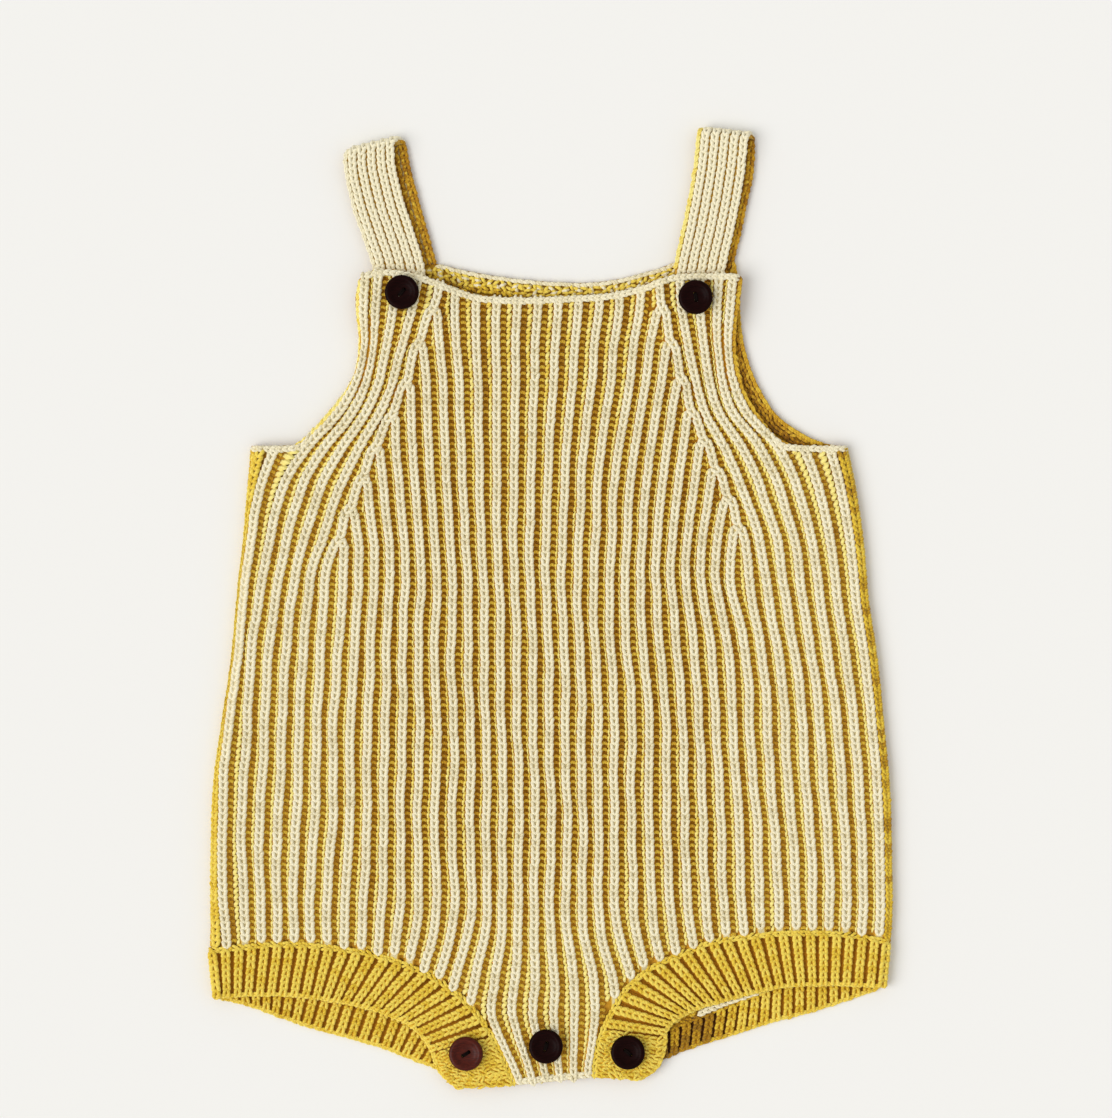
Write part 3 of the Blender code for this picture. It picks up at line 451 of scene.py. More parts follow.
def margin(outline, x, y):
    """Distance of points from an outline, positive inside it and negative outside."""
    start, end = outline, np.roll(outline, -1, axis=0)
    step = end - start
    point = np.stack([x, y], axis=1)[:, None]
    t = np.clip(((point - start) * step).sum(axis=2) / (step * step).sum(axis=1), 0, 1)
    away = np.linalg.norm(point - start - t[..., None] * step, axis=2).min(axis=1)
    crosses = (start[:, 1] > y[:, None]) != (end[:, 1] > y[:, None])
    rise = np.where(step[:, 1] == 0, 1.0, step[:, 1])
    at = start[:, 0] + (y[:, None] - start[:, 1]) * step[:, 0] / rise
    return np.where((crosses & (at > x[:, None])).sum(axis=1) % 2 == 1, away, -away)


def area_of(outline):
    following = np.roll(outline, -1, axis=0)
    return abs((outline[:, 0] * following[:, 1] - following[:, 0] * outline[:, 1]).sum()) / 2


front_edge = body_outline("front", FRONT_LEFT_ARMHOLE, FRONT_NECK, FRONT_RIGHT_ARMHOLE)
back_edge = body_outline("back", BACK_LEFT_ARMHOLE, BACK_NECK, BACK_RIGHT_ARMHOLE)
print(f"front {area_of(front_edge) * 1e4:.0f} cm2, back {area_of(back_edge) * 1e4:.0f} cm2")

# %% [markdown]
# ## Materials
#
# A knitted cotton yarn is matt: its colour changes a little from stitch to stitch, and the twist of its
# plies and its loose fibres break up the light. That could come from an image of cloth. Here it comes
# from noise and from a wave round the yarn, so that it stays sharp at any size.


# %% One function adds any node, and one fills its inputs
def linear(hex_colour):
    """An sRGB hex colour as a linear RGBA colour."""
    channels = [int(hex_colour[i : i + 2], 16) / 255 for i in (1, 3, 5)]
    return [c / 12.92 if c <= 0.04045 else ((c + 0.055) / 1.055) ** 2.4 for c in channels] + [1.0]


def feed(tree, node, inputs):
    """Each input set to a value or linked to an output. A node given stands for its first output."""
    for name, value in inputs.items():
        if isinstance(value, bpy.types.Node):
            value = value.outputs[0]
        if isinstance(value, bpy.types.NodeSocket):
            tree.links.new(value, node.inputs[name])
        else:
            node.inputs[name].default_value = value


def add(tree, kind, inputs=None, stops=(), **settings):
    """A shader node with its settings, its inputs, and its ramp's stops as places and colours."""
    made = tree.nodes.new("ShaderNode" + kind)
    for name, value in settings.items():
        setattr(made, name, value)
    feed(tree, made, inputs or {})
    if stops:
        elements = made.color_ramp.elements
        elements.remove(elements[-1])
        for place, colour in stops:
            stop = elements.new(place) if place != stops[0][0] else elements[0]
            stop.position, stop.color = place, linear(colour)
    return made


def blank(name):
    """A new material with its tree and its shader."""
    made = bpy.data.materials.new(name)
    made.use_nodes = True
    return made, made.node_tree, made.node_tree.nodes["Principled BSDF"]


# %% [markdown]
# ### Yarn
#
# Combed cotton, dyed and spun in two plies. The eye reads three things: a soft sheen at grazing angles
# from the fibre ends, darker lines between the plies, which are painted shade, and stitches that differ
# a little in tone.

# %% Yarn materials
PLY_TWIST = 2.6  # millimetres of yarn for one turn of its plies
FIBRE = 0.35 * MM  # between clumps of fibre, drawn coarser than real so that it shows
DYE = 14 * MM  # between places where the dye took a little more
# The plies' share is painted shade: it darkens the colour in the grooves between the plies
DYE_TONE, FIBRE_TONE, PLY_SHADE = 0.35, 0.5, 0.45  # how much each adds to a stitch's own tone
DARKEST, LIGHTEST = -1.1, 1.65  # the sums that give the first and the last colour


def cotton_yarn(name, deep, dark, middle, light, sheen):
    """Yarn in four tones. Its stitches lie between dark and light, and those kept in shade near deep."""
    made, tree, shader = blank(name)
    uv = add(tree, "UVMap", uv_map="Yarn")
    split = add(tree, "SeparateXYZ", {0: uv})
    turns = add(tree, "Math", {0: split.outputs["X"], 1: 1 / PLY_TWIST}, operation="MULTIPLY")
    round_it = add(tree, "Math", {0: turns, 1: split.outputs["Y"]}, operation="ADD")
    angle = add(tree, "Math", {0: round_it, 1: 2 * math.pi}, operation="MULTIPLY")
    wave = add(tree, "Math", {0: angle}, operation="SINE")
    ply = add(tree, "Math", {0: wave}, operation="ABSOLUTE")
    place = add(tree, "TexCoord").outputs["Object"]
    fibres = add(tree, "TexNoise", {"Vector": place, "Scale": 1 / FIBRE, "Detail": 3.0, "Roughness": 0.6})
    patches = add(tree, "TexNoise", {"Vector": place, "Scale": 1 / DYE, "Detail": 2.0})
    shade = add(tree, "Attribute", attribute_name="shade").outputs["Fac"]
    tone = add(tree, "Math", {0: patches, 1: DYE_TONE, 2: shade}, operation="MULTIPLY_ADD")
    fuzz = add(tree, "Math", {0: fibres, 1: FIBRE_TONE, 2: tone}, operation="MULTIPLY_ADD")
    plied = add(tree, "Math", {0: ply, 1: PLY_SHADE, 2: fuzz}, operation="MULTIPLY_ADD")
    scaled = add(tree, "MapRange", {"Value": plied, "From Min": DARKEST, "From Max": LIGHTEST})
    colour = add(
        tree, "ValToRGB", {"Fac": scaled},
        stops=[(0.0, deep), (0.5, dark), (0.74, middle), (1.0, light)],
    )
    height = add(tree, "Math", {0: fibres, 1: 0.5, 2: ply}, operation="MULTIPLY_ADD")
    relief = add(tree, "Bump", {"Height": height, "Strength": 0.6, "Distance": 0.25 * MM})
    feed(tree, shader, {
        "Base Color": colour, "Normal": relief, "Roughness": 0.9, "IOR": 1.5,
        "Specular IOR Level": 0.3, "Sheen Weight": sheen, "Sheen Roughness": 0.5,
    })
    return made


cream_cotton = cotton_yarn("cream_cotton_yarn", "#8E7A4C", "#D4C699", "#F0E5C0", "#F6EDCC", 0.2)
mustard_cotton = cotton_yarn("mustard_cotton_yarn", "#4E2A06", "#B5860E", "#E3BE30", "#F2D75A", 0.15)
# A darker copy of the mustard, for yarn in the furrows and other places out of the light: painted shade
shaded_mustard = cotton_yarn("mustard_cotton_yarn_painted_shade", "#663E08", "#A8740E", "#CC9A1E", "#E2BC3A", 0.1)
# A lighter copy of the mustard, for yarn on the sides that face the light: painted light
lit_mustard = cotton_yarn(
    "mustard_cotton_yarn_painted_light", "#8A6410", "#D0A428", "#F0D250", "#FAEA8C", 0.15
)
print("yarns:", [made.name for made in (cream_cotton, mustard_cotton, shaded_mustard, lit_mustard)])

# %% [markdown]
# ### The ground between the stitches
#
# Behind the stitches one sees the crossing yarns of both colours, half in shade. A point attribute says
# how deep a place lies, from a rib's crest to the bottom of a furrow, and the colour follows it, darker
# towards the bottom as painted shade.

# %% Ground materials
CROSSING = 0.8 * MM  # between yarns that cross behind the stitches
MOTTLE = 0.35  # how far they change the depth of the colour, both ways together


def ribbed_ground(name, stops):
    """Cotton seen between stitches: matt, mottled, and darker the deeper it lies, as painted shade."""
    made, tree, shader = blank(name)
    deep = add(tree, "Attribute", attribute_name="depth").outputs["Fac"]
    place = add(tree, "TexCoord").outputs["Object"]
    fibres = add(
        tree, "TexNoise", {"Vector": place, "Scale": 1 / CROSSING, "Detail": 3.0, "Roughness": 0.65}
    )
    mixed = add(tree, "Math", {0: fibres, 1: MOTTLE, 2: deep}, operation="MULTIPLY_ADD")
    centred = add(tree, "Math", {0: mixed, 1: MOTTLE / 2}, operation="SUBTRACT")
    colour = add(tree, "ValToRGB", {"Fac": centred}, stops=stops)
    relief = add(tree, "Bump", {"Height": fibres, "Strength": 0.8, "Distance": 0.4 * MM})
    feed(tree, shader, {
        "Base Color": colour, "Normal": relief, "Roughness": 0.95, "Specular IOR Level": 0.2,
    })
    return made


# Cream under a rib, mustard in a furrow, and dark brown at a furrow's bottom, which is painted shade
two_colour_ground = ribbed_ground("two_colour_cotton_ground", [
    (0.0, "#DDCFA2"), (0.3, "#E2CC80"), (0.6, "#D2A236"), (0.85, "#B47C18"), (1.0, "#9C680E"),
])
inside_ground = ribbed_ground("two_colour_cotton_inside", [
    (0.0, "#D2A62C"), (0.5, "#B88218"), (1.0, "#8A5A0C"),
])
# The darkest stop is painted shade, for the bottoms of the furrows and the shaded leg opening
mustard_ground = ribbed_ground("mustard_cotton_ground", [
    (0.0, "#DDB430"), (0.4, "#CC9420"), (0.75, "#A0680E"), (1.0, "#4E2A06"),
])
print("grounds:", [made.name for made in (two_colour_ground, inside_ground, mustard_ground)])

# %% [markdown]
# ## Stitches
#
# A knit stitch is a loop that shows as a V: two legs that come out of the loop below, lean apart and go
# behind the loop above. It could be one long curve with a bevel, which is heavy and hard to vary. One V
# is made once as a short tube instead, and copied to every stitch along a rib with that stitch's own
# place, direction and width. All the copies are joined into one mesh.

# %% A length of yarn
def unit(vectors):
    return vectors / np.linalg.norm(vectors, axis=1)[:, None]


def tube(middle, radius, taper=0.6, sides=6):
    """A length of yarn round a line of points (across, along, up): its points, faces and UVs."""
    middle = np.array(middle)
    forward = unit(np.gradient(middle, axis=0))
    aside = unit(np.cross(forward, (0.0, 0.0, 1.0)))
    up = np.cross(aside, forward)
    thick = np.full(len(middle), radius)
    thick[[0, -1]] *= taper
    turn = 2 * math.pi * (np.arange(sides) + 0.5) / sides
    ring = aside[:, None] * np.cos(turn)[:, None] + up[:, None] * np.sin(turn)[:, None]
    points = (middle[:, None] + ring * thick[:, None, None]).reshape(-1, 3)
    length = lengths_along(middle) / MM
    faces, uvs = [], []
    for number, (near, far) in enumerate(zip(length, length[1:])):
        low, high = number * sides, (number + 1) * sides
        for i in range(sides):
            j = (i + 1) % sides
            faces.append((low + i, low + j, high + j, high + i))
            here, there = i / sides, (i + 1) / sides
            uvs.append([(near, here), (near, there), (far, there), (far, here)])
    end = (len(middle) - 1) * sides
    faces += [tuple(range(sides - 1, -1, -1)), tuple(range(end, end + sides))]
    uvs += [[(0.0, 0.0)] * sides, [(length[-1], 0.0)] * sides]
    return points, faces, uvs


# %% One stitch
ROW, STITCH = 2.8 * MM, 4.1 * MM  # height of a knitted row, and width of a column of stitches
YARN = 0.78 * MM  # radius of the yarn


def knit_stitch(width=STITCH, row=ROW, radius=YARN, lean=1.0):
    """A V. Its legs end under the next stitch, and its foot comes out from under the last one."""
    reach = width / 2 - radius
    leg = [
        ((1 - 0.28 * lean) * reach, 0.80 * row, -0.95 * radius),
        (1.00 * reach, 0.38 * row, -0.08 * radius),
        ((1 - 0.44 * lean) * reach, -0.24 * row, 0.06 * radius),
    ]
    foot = [(0.0, -0.56 * row, -0.35 * radius)]
    other = [(-across, forward, up) for across, forward, up in reversed(leg)]
    return tube(leg + foot + other, radius)


def purl_bar(width, radius=0.9 * MM, sag=0.5 * MM):
    """The bar of a stitch seen from behind, which hangs between two ribs."""
    reach = width / 2
    middle = [
        (-reach, -0.10 * ROW, sag), (-0.42 * reach, 0.08 * ROW, 0.0), (0.42 * reach, 0.08 * ROW, 0.0),
        (reach, -0.10 * ROW, sag),
    ]
    return tube(middle, radius, taper=0.8, sides=5)


LOOP = 1.4 * MM  # width of a slipped loop


def slipped_loop(row=ROW, radius=0.6 * MM):
    """The slanted loop of mustard that shows beside a cream rib."""
    reach = LOOP / 2 - 0.6 * radius
    middle = [
        (-reach, -0.62 * row, -0.6 * radius), (0.1 * reach, -0.1 * row, 0.3 * radius),
        (reach, 0.45 * row, -0.6 * radius),
    ]
    return tube(middle, radius, taper=0.7, sides=5)


print("one stitch:", len(knit_stitch()[0]), "points,", len(knit_stitch()[1]), "faces")


# %% Lines on the cloth, and the stitches along them
def line_of(points, normal, width=1.0):
    """A line for stitches: its points, the cloth's upward direction and a width."""
    normal = np.broadcast_to(normal, (len(points), 3))
    return np.column_stack([points, normal, np.broadcast_to(width, len(points))])


def path_on(surface, x, y, above, width=1.0):
    """A line that lies over a surface."""
    step = 0.2 * MM
    slope_x = (surface(x + step, y) - surface(x - step, y)) / (2 * step)
    slope_y = (surface(x, y + step) - surface(x, y - step)) / (2 * step)
    normal = unit(np.stack([-slope_x, -slope_y, np.ones_like(x)], axis=1))
    points = np.stack([x, y, surface(x, y)], axis=1) + normal * np.reshape(above, (-1, 1))
    return line_of(points, normal, width)


def stitches_on(path, start=None):
    """Stitches a row apart along a path, each as its centre, across, along, up and width.

    Without a start the rows are a little higher or lower, so that they fill the path evenly."""
    length, row = lengths_along(path[:, :3]), ROW
    if start is None:
        row = length[-1] / max(1, round(length[-1] / ROW))
        start = row / 2
    direction = np.gradient(path[:, :3], axis=0)
    rows = sample(np.column_stack([path, direction]), length, np.arange(start, length[-1], row))
    forward = unit(rows[:, 7:10])
    across = unit(np.cross(forward, rows[:, 3:6]))
    return np.column_stack([rows[:, :3], across, forward, np.cross(across, forward), rows[:, 6]])


rng = np.random.default_rng(39)


def uneven(places, turn=0.05, shift=0.06 * MM):
    """The same stitches, each a little turned and moved, as a hand or a machine leaves them."""
    made = places.copy()
    angle = rng.normal(0, turn, len(made))[:, None]
    across, forward = places[:, 3:6], places[:, 6:9]
    made[:, 3:6] = across * np.cos(angle) + forward * np.sin(angle)
    made[:, 6:9] = forward * np.cos(angle) - across * np.sin(angle)
    made[:, :3] += rng.normal(0, shift, (len(made), 3)) * (1.0, 1.0, 0.5)
    return made


# %% Copies of stitches as one mesh
def piece(name, mesh, materials):
    made = bpy.data.objects.new(name, mesh)
    bpy.context.scene.collection.objects.link(made)
    for material in materials:
        mesh.materials.append(material)
    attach(made, "root")
    return made


def map_from_above(mesh, corner_points):
    """A second UV map, seen from straight above and fitted to the unit square."""
    low, high = corner_points.min(axis=0), corner_points.max(axis=0)
    flat = (corner_points - low)[:, :2] / max(high[:2] - low[:2])
    mesh.uv_layers.new(name="OFBake").data.foreach_set("uv", (0.01 + 0.98 * flat).ravel())


def knit(name, parts, yarn):
    """One mesh of every copy of each stitch in parts, each a stitch, its places and their tone."""
    points, sizes, corners, uvs, shades = [], [], [], [], []
    count = 0
    for (local, faces, face_uvs), places, tone in parts:
        centre, across, forward, up = (places[:, i : i + 3][:, None] for i in (0, 3, 6, 9))
        wide, long, high = (local[:, i][None, :, None] for i in range(3))
        wide = wide * places[:, 12][:, None, None]
        points.append((centre + across * wide + forward * long + up * high).reshape(-1, 3))
        start = count + len(local) * np.arange(len(places))
        corners.append((np.concatenate(faces)[None] + start[:, None]).ravel())
        sizes.append(np.tile([len(face) for face in faces], len(places)))
        uvs.append(np.tile(np.concatenate(face_uvs), (len(places), 1)))
        shades.append(np.repeat(rng.random(len(places)) + tone, len(local)))
        count += len(local) * len(places)
    points, sizes, corners = np.concatenate(points), np.concatenate(sizes), np.concatenate(corners)
    mesh = bpy.data.meshes.new(name)
    mesh.vertices.add(len(points))
    mesh.vertices.foreach_set("co", points.ravel())
    mesh.loops.add(len(corners))
    mesh.loops.foreach_set("vertex_index", corners.astype(np.int32))
    mesh.polygons.add(len(sizes))
    mesh.polygons.foreach_set("loop_start", np.concatenate([[0], np.cumsum(sizes)[:-1]]).astype(np.int32))
    mesh.update(calc_edges=True)
    mesh.validate()
    mesh.shade_smooth()
    mesh.uv_layers.new(name="Yarn").data.foreach_set("uv", np.concatenate(uvs).ravel())
    mesh.attributes.new("shade", "FLOAT", "POINT").data.foreach_set("value", np.concatenate(shades))
    map_from_above(mesh, points[corners])
    print(f"{name}: {(sizes - 2).sum()} triangles")
    return piece(name, mesh, [yarn])


# %% [markdown]
# ## The front
#
# The front is one piece from the crotch tab up to the bib. Its ribs run straight up. Towards each
# armhole a raglan rib slants inwards and takes in the rib beside it every few rows, which makes the
# row of small Ys. Each rib could be drawn by hand, but its place at every height already follows from
# the table, so a loop reads it there and cuts it off at the piece's edge.

# %% The lines of the front's ribs
FINE = 0.5 * MM  # between the heights at which ribs are worked out
RIB_END = 0.5 * MM  # how far a rib stays inside the edge
OUTER_TOP = UNDERARM - 1.0 * MM  # where the outermost ribs end
fine_y = np.arange(front_edge[:, 1].min(), front_edge[:, 1].max(), FINE)
rib_x = ribs_at(fine_y)
# Near the sides and the hem the knit is more open and its colours paler: from where on, and over what ramp
PALE_X, PALE_RAMP_X, PALE_Y, PALE_RAMP_Y = 55 * MM, 50 * MM, at_height(115), 60 * MM
# Widths of a rib in stitches: in the middle, more where the knit is open, and less on the tab
FULL, FULLER, TAB_LESS, NARROW_Y, NARROW_RAMP = 1.06, 0.1, 0.24, at_height(45), 30 * MM
MOST_OF_SPACE = 0.84  # of the space between two ribs at an armhole, that a rib may fill
UNDER_RAGLAN, NOT_UNDER = 0.9 * MM, 0.9 * STITCH  # how far a taken-in rib dips, and from where on
MERGED = 0.7 * MM  # between two ribs' middles, below which only the raglan rib shows


def taken_in(rib):
    """The height at which a raglan rib takes this rib in, and that rib's number."""
    for (outer, inner), heights in DECREASES.items():
        if min(outer, inner) < rib < max(outer, inner):
            return at_height(heights[abs(rib - outer) - 1]) + MERGING * DECREASE_APART, outer
    return None, None


def runs_of(wanted, least=1):
    """Every stretch of at least so many true values, as slices."""
    edges = np.flatnonzero(np.diff(np.concatenate([[0], wanted.astype(int), [0]])))
    return [slice(start, stop) for start, stop in edges.reshape(-1, 2) if stop - start >= least]


def paleness(x, y):
    """0 in the middle of the front, 1 near its sides and its hem."""
    aside = smooth_step((abs(x) - PALE_X) / PALE_RAMP_X)
    return np.maximum(aside, smooth_step((PALE_Y - y) / PALE_RAMP_Y))


def rib_path(rib):
    """The line of a front rib where it shows, with its heights and their numbers."""
    x = rib_x[:, rib]
    wanted = margin(front_edge, x, fine_y) > RIB_END
    gone, outer = taken_in(rib)
    drop = np.zeros_like(x)
    if gone is not None:
        apart = np.abs(x - rib_x[:, outer])
        wanted &= (fine_y < gone) & (apart > MERGED)
        drop = UNDER_RAGLAN * smooth_step(1 - apart / NOT_UNDER)
    if rib < FIRST or rib > LAST:
        wanted &= fine_y < OUTER_TOP
    run = max(runs_of(wanted), key=lambda run: run.stop - run.start)
    in_tab = smooth_step((NARROW_Y - fine_y) / NARROW_RAMP)
    width = FULL + FULLER * paleness(x, fine_y) - TAB_LESS * in_tab
    outer_ribs = range(RAGLAN_LEFT + 1) if rib <= RAGLAN_LEFT else range(RAGLAN_RIGHT, RIBS)
    for beside in {rib - 1, rib + 1} & set(outer_ribs) if rib in outer_ribs else ():
        width = np.minimum(width, MOST_OF_SPACE * np.abs(x - rib_x[:, beside]) / STITCH)
    path = path_on(front_crest, x, fine_y, -YARN - drop, width)
    return path[run], fine_y[run], run


print("front's ribs are worked out at", len(fine_y), "heights")

# %% The slipped loops beside them
ROW_ORIGIN = at_height(170)  # rows of all ribs meet the same line here
PURL = 2.0 * MM  # the part of a furrow, at its left, that its purl bars fill where they can
LEAST_LOOP, NO_LOOP = 1.0 * MM, 1.2 * MM  # least width of the loops, and the room that holds none
FLANK_TILT = 0.6  # the loops lie on the slope that rises to the next rib
LOOP_TOP, LOOP_UNDER = -1.45 * MM, 0.1 * MM  # their height over the crest, and how far under the rib
LOOP_END, LEAST_LOOPS = 0.7 * MM, 9  # how far inside the edge they end, and the least heights in a line
SAME_RIB, NO_RIB = 0.5 * MM, 1.0  # ribs nearer than this are one, and none lies a metre away


def in_rows(path, path_y, shift=0.0):
    """Stitches on a path, with their rows level with those of the other ribs."""
    origin = np.interp(ROW_ORIGIN, path_y, lengths_along(path[:, :3])) + shift
    return stitches_on(path, start=origin % ROW)


def loop_width(room):
    """Width of the loops in a furrow of a given room."""
    return np.maximum(room - PURL, LEAST_LOOP)


def flank_paths(rib, run):
    """The lines of slipped loops at the left of a rib, wherever the next rib leaves room."""
    to_left = rib_x[:, [rib]] - rib_x
    room = np.where(to_left > SAME_RIB, to_left, NO_RIB).min(axis=1) - STITCH
    width = loop_width(room)
    x = rib_x[:, rib] - STITCH / 2 - width / 2 + LOOP_UNDER
    wanted = (margin(front_edge, x, fine_y) > LOOP_END) & (room > NO_LOOP) & (room < NO_RIB / 2)
    wanted[: run.start] = False
    wanted[run.stop :] = False
    made = path_on(front_crest, x, fine_y, LOOP_TOP, width / LOOP)
    made[:, 3] -= FLANK_TILT
    made[:, 3:6] = unit(made[:, 3:6])
    return [(made[part], fine_y[part]) for part in runs_of(wanted, LEAST_LOOPS)]


rib_stitches, flank_loops = [], []
for rib in range(RIBS):
    path, path_y, run = rib_path(rib)
    rib_stitches.append(in_rows(path, path_y))
    flank_loops += [in_rows(*line, 0.5 * ROW) for line in flank_paths(rib, run)]
print("front stitches:", sum(len(places) for places in rib_stitches))


# %% The cream ribs and the loops, in a few meshes so that each stays light enough to edit
# The loops stand only at the left of each rib, on the side that faces the light, and LOOP_TONE lightens them
# more: painted light
LOOP_TONE, LOOP_PALE_TONE = 0.2, 0.6  # of the loops, and what is added where the knit is open


def knit_in_parts(name, parts, shape, columns, yarn, tone_of):
    """Columns of one stitch, shared out among a mesh for each part."""
    made = []
    cuts = [len(columns) * number // len(parts) for number in range(len(parts) + 1)]
    for part, start, stop in zip(parts, cuts, cuts[1:]):
        places = uneven(np.concatenate(columns[start:stop]))
        made.append(knit(f"{name}_{part}", [(shape, places, tone_of(places))], yarn))
    return made


stitch = knit_stitch(lean=0.65)
front_ribs = knit_in_parts(
    "front_ribs", ("left", "centre", "right"), stitch, rib_stitches, cream_cotton, lambda places: 0.0
)
# Painted light: the lit mustard on the flanks that face the light
front_loops = knit_in_parts(
    "front_loops", ("left", "right"), slipped_loop(), flank_loops, lit_mustard,
    lambda places: LOOP_TONE + LOOP_PALE_TONE * paleness(places[:, 0], places[:, 1]),
)

# %% [markdown]
# Between two ribs the knit shows its purl side: one bar of mustard yarn for each row, lying across the
# furrow and rising at both ends to the ribs. The gaps between the bars are what reads as dark dots. The
# bars take the darker copy of the mustard, which paints the furrow's shade.

# %% The bars in the furrows
BAR_WIDTH = 2.4 * MM
BAR_HEIGHT = 1.0 * MM  # of a bar's middle over the front's inside
BAR_OVERLAP = 0.2 * MM  # how far its ends go under the rib and the loops
BAR_END, LEAST_BARS = 0.3 * MM, 4  # how far inside the edge they end, and the least heights in a line
LEAST_FURROW, LEAST_BAR = 0.7 * MM, 0.6 * MM
STREAK_ACROSS, STREAK_ALONG = 2.6 * MM, 35 * MM  # lengths over 2 pi of the slow change of tone
STREAK_TONE, PALE_TONE = 0.35, 0.25  # how far it goes, and what is added where the knit is open


def furrow_floor(x, y):
    return front_crest(x, y) - FRONT_WALL - RIB_RISE


def furrow_places(left):
    """Places of the bars between a rib and the next, which share their heights with the rows."""
    right = left + 1
    room = rib_x[:, right] - rib_x[:, left] - STITCH
    purl = np.where(room > NO_LOOP, room - loop_width(room), room)
    x = rib_x[:, left] + (STITCH + purl) / 2
    wanted = (margin(front_edge, x, fine_y) > BAR_END) & (room > LEAST_FURROW)
    if left < FIRST or right > LAST:
        wanted &= fine_y < OUTER_TOP
    width = (np.maximum(purl, LEAST_BAR) + 2 * BAR_OVERLAP) / BAR_WIDTH
    path = path_on(furrow_floor, x, fine_y, BAR_HEIGHT, width)
    return [in_rows(path[run], fine_y[run], 0.5 * ROW) for run in runs_of(wanted, LEAST_BARS)]


def streaks(places):
    """A slow change of tone from furrow to furrow and along each, as the knit is pulled here and there."""
    x, y = places[:, 0], places[:, 1]
    return STREAK_TONE * np.sin(x / STREAK_ACROSS + y / STREAK_ALONG) + PALE_TONE * paleness(x, y)


bar = purl_bar(BAR_WIDTH)
bar_places = [places for rib in range(RIBS - 1) for places in furrow_places(rib)]
front_bars = knit_in_parts("front_bars", ("left", "right"), bar, bar_places, shaded_mustard, streaks)

# %% [markdown]
# ### The sheet of cloth under the stitches
#
# Without it one could see through the knit. Its outline is the pattern's, its upper face swells under
# each rib and dips in each furrow, and its other face is plain. It is filled with triangles between
# lines that follow the ribs, so the swell is as smooth as it needs to be and no denser.

# %% Lines and colours that follow the ribs
CREST_HALF, FOOT_HALF = 1.9 * MM, 2.95 * MM  # where a rib's swell starts to fall, and where it ends
CORE_HALF, CORE_RAMP = 1.0 * MM, 0.9 * MM  # how far cream shows between the legs of the stitches
PALER_FURROW = 0.25  # share of a furrow's depth of colour that is lost where the knit is open
RIB_LINE_STEP = 6 * MM  # between the points of a line


def from_rib(x, y):
    """Distance to the middle of the nearest rib."""
    return np.abs(x[:, None] - ribs_at(y)).min(axis=1)


def rib_share(x, y):
    """1 under a rib's middle, 0 in a furrow."""
    return 1 - smooth_step((from_rib(x, y) - CREST_HALF) / (FOOT_HALF - CREST_HALF))


def depth_of_colour(x, y):
    """0 under a rib, where cream shows between the legs of its stitches, and up to 1 in a furrow."""
    return smooth_step((from_rib(x, y) - CORE_HALF) / CORE_RAMP) * (1 - PALER_FURROW * paleness(x, y))


def rib_lines(outline):
    """Lines along the middle, the crest's edges and the foot of every rib."""
    middle = (CREST_HALF + FOOT_HALF) / 2
    offsets = [way * far for way in (-1, 1) for far in (CORE_HALF, CREST_HALF, middle, FOOT_HALF)]
    y = np.arange(outline[:, 1].min(), outline[:, 1].max() + RIB_LINE_STEP, RIB_LINE_STEP)
    centres = ribs_at(y)
    lines = []
    for rib in range(RIBS):
        gone, _ = taken_in(rib)
        stop = len(y) if gone is None else max(2, int(np.searchsorted(y, gone)) + 1)
        if rib < FIRST or rib > LAST:
            stop = int(np.searchsorted(y, UNDERARM))
        for offset in offsets:
            x = centres[:stop, rib] + offset
            near = margin(outline, x, y[:stop]) > -RIB_LINE_STEP
            lines.append(np.stack([x, y[:stop]], axis=1)[near])
    return [line for line in lines if len(line) > 1]


# %% Triangles inside an outline
SNAP, EXACT = 0.05 * MM, 1e-7  # points nearer than this become one


def triangulate(outline, lines, snap):
    """Triangles inside an outline, with the outline and the lines as edges."""
    points, edges = [], []
    for line in [outline, *lines]:
        start = len(points)
        points.extend(Vector(point) for point in line)
        edges.extend((index, index + 1) for index in range(start, len(points) - 1))
        if start == 0:
            edges.append((len(points) - 1, 0))
    placed, _, faces, origins, *_ = delaunay_2d_cdt(points, edges, [], 1, snap)
    placed, faces = np.array(placed), np.array(faces)
    centres = placed[faces].mean(axis=1)
    kept = np.concatenate([
        margin(np.array(outline), part[:, 0], part[:, 1]) > 0
        for part in np.array_split(centres, max(1, len(centres) // 2000))
    ])
    return placed, faces[kept], origins


def rim_of(faces):
    """The vertices round the open edge of some triangles, in order."""
    edges = {(int(face[i - 1]), int(face[i])) for face in faces for i in range(3)}
    following = {a: b for a, b in edges if (b, a) not in edges}
    loop = [min(following)]
    while following[loop[-1]] != loop[0]:
        loop.append(following[loop[-1]])
    return loop


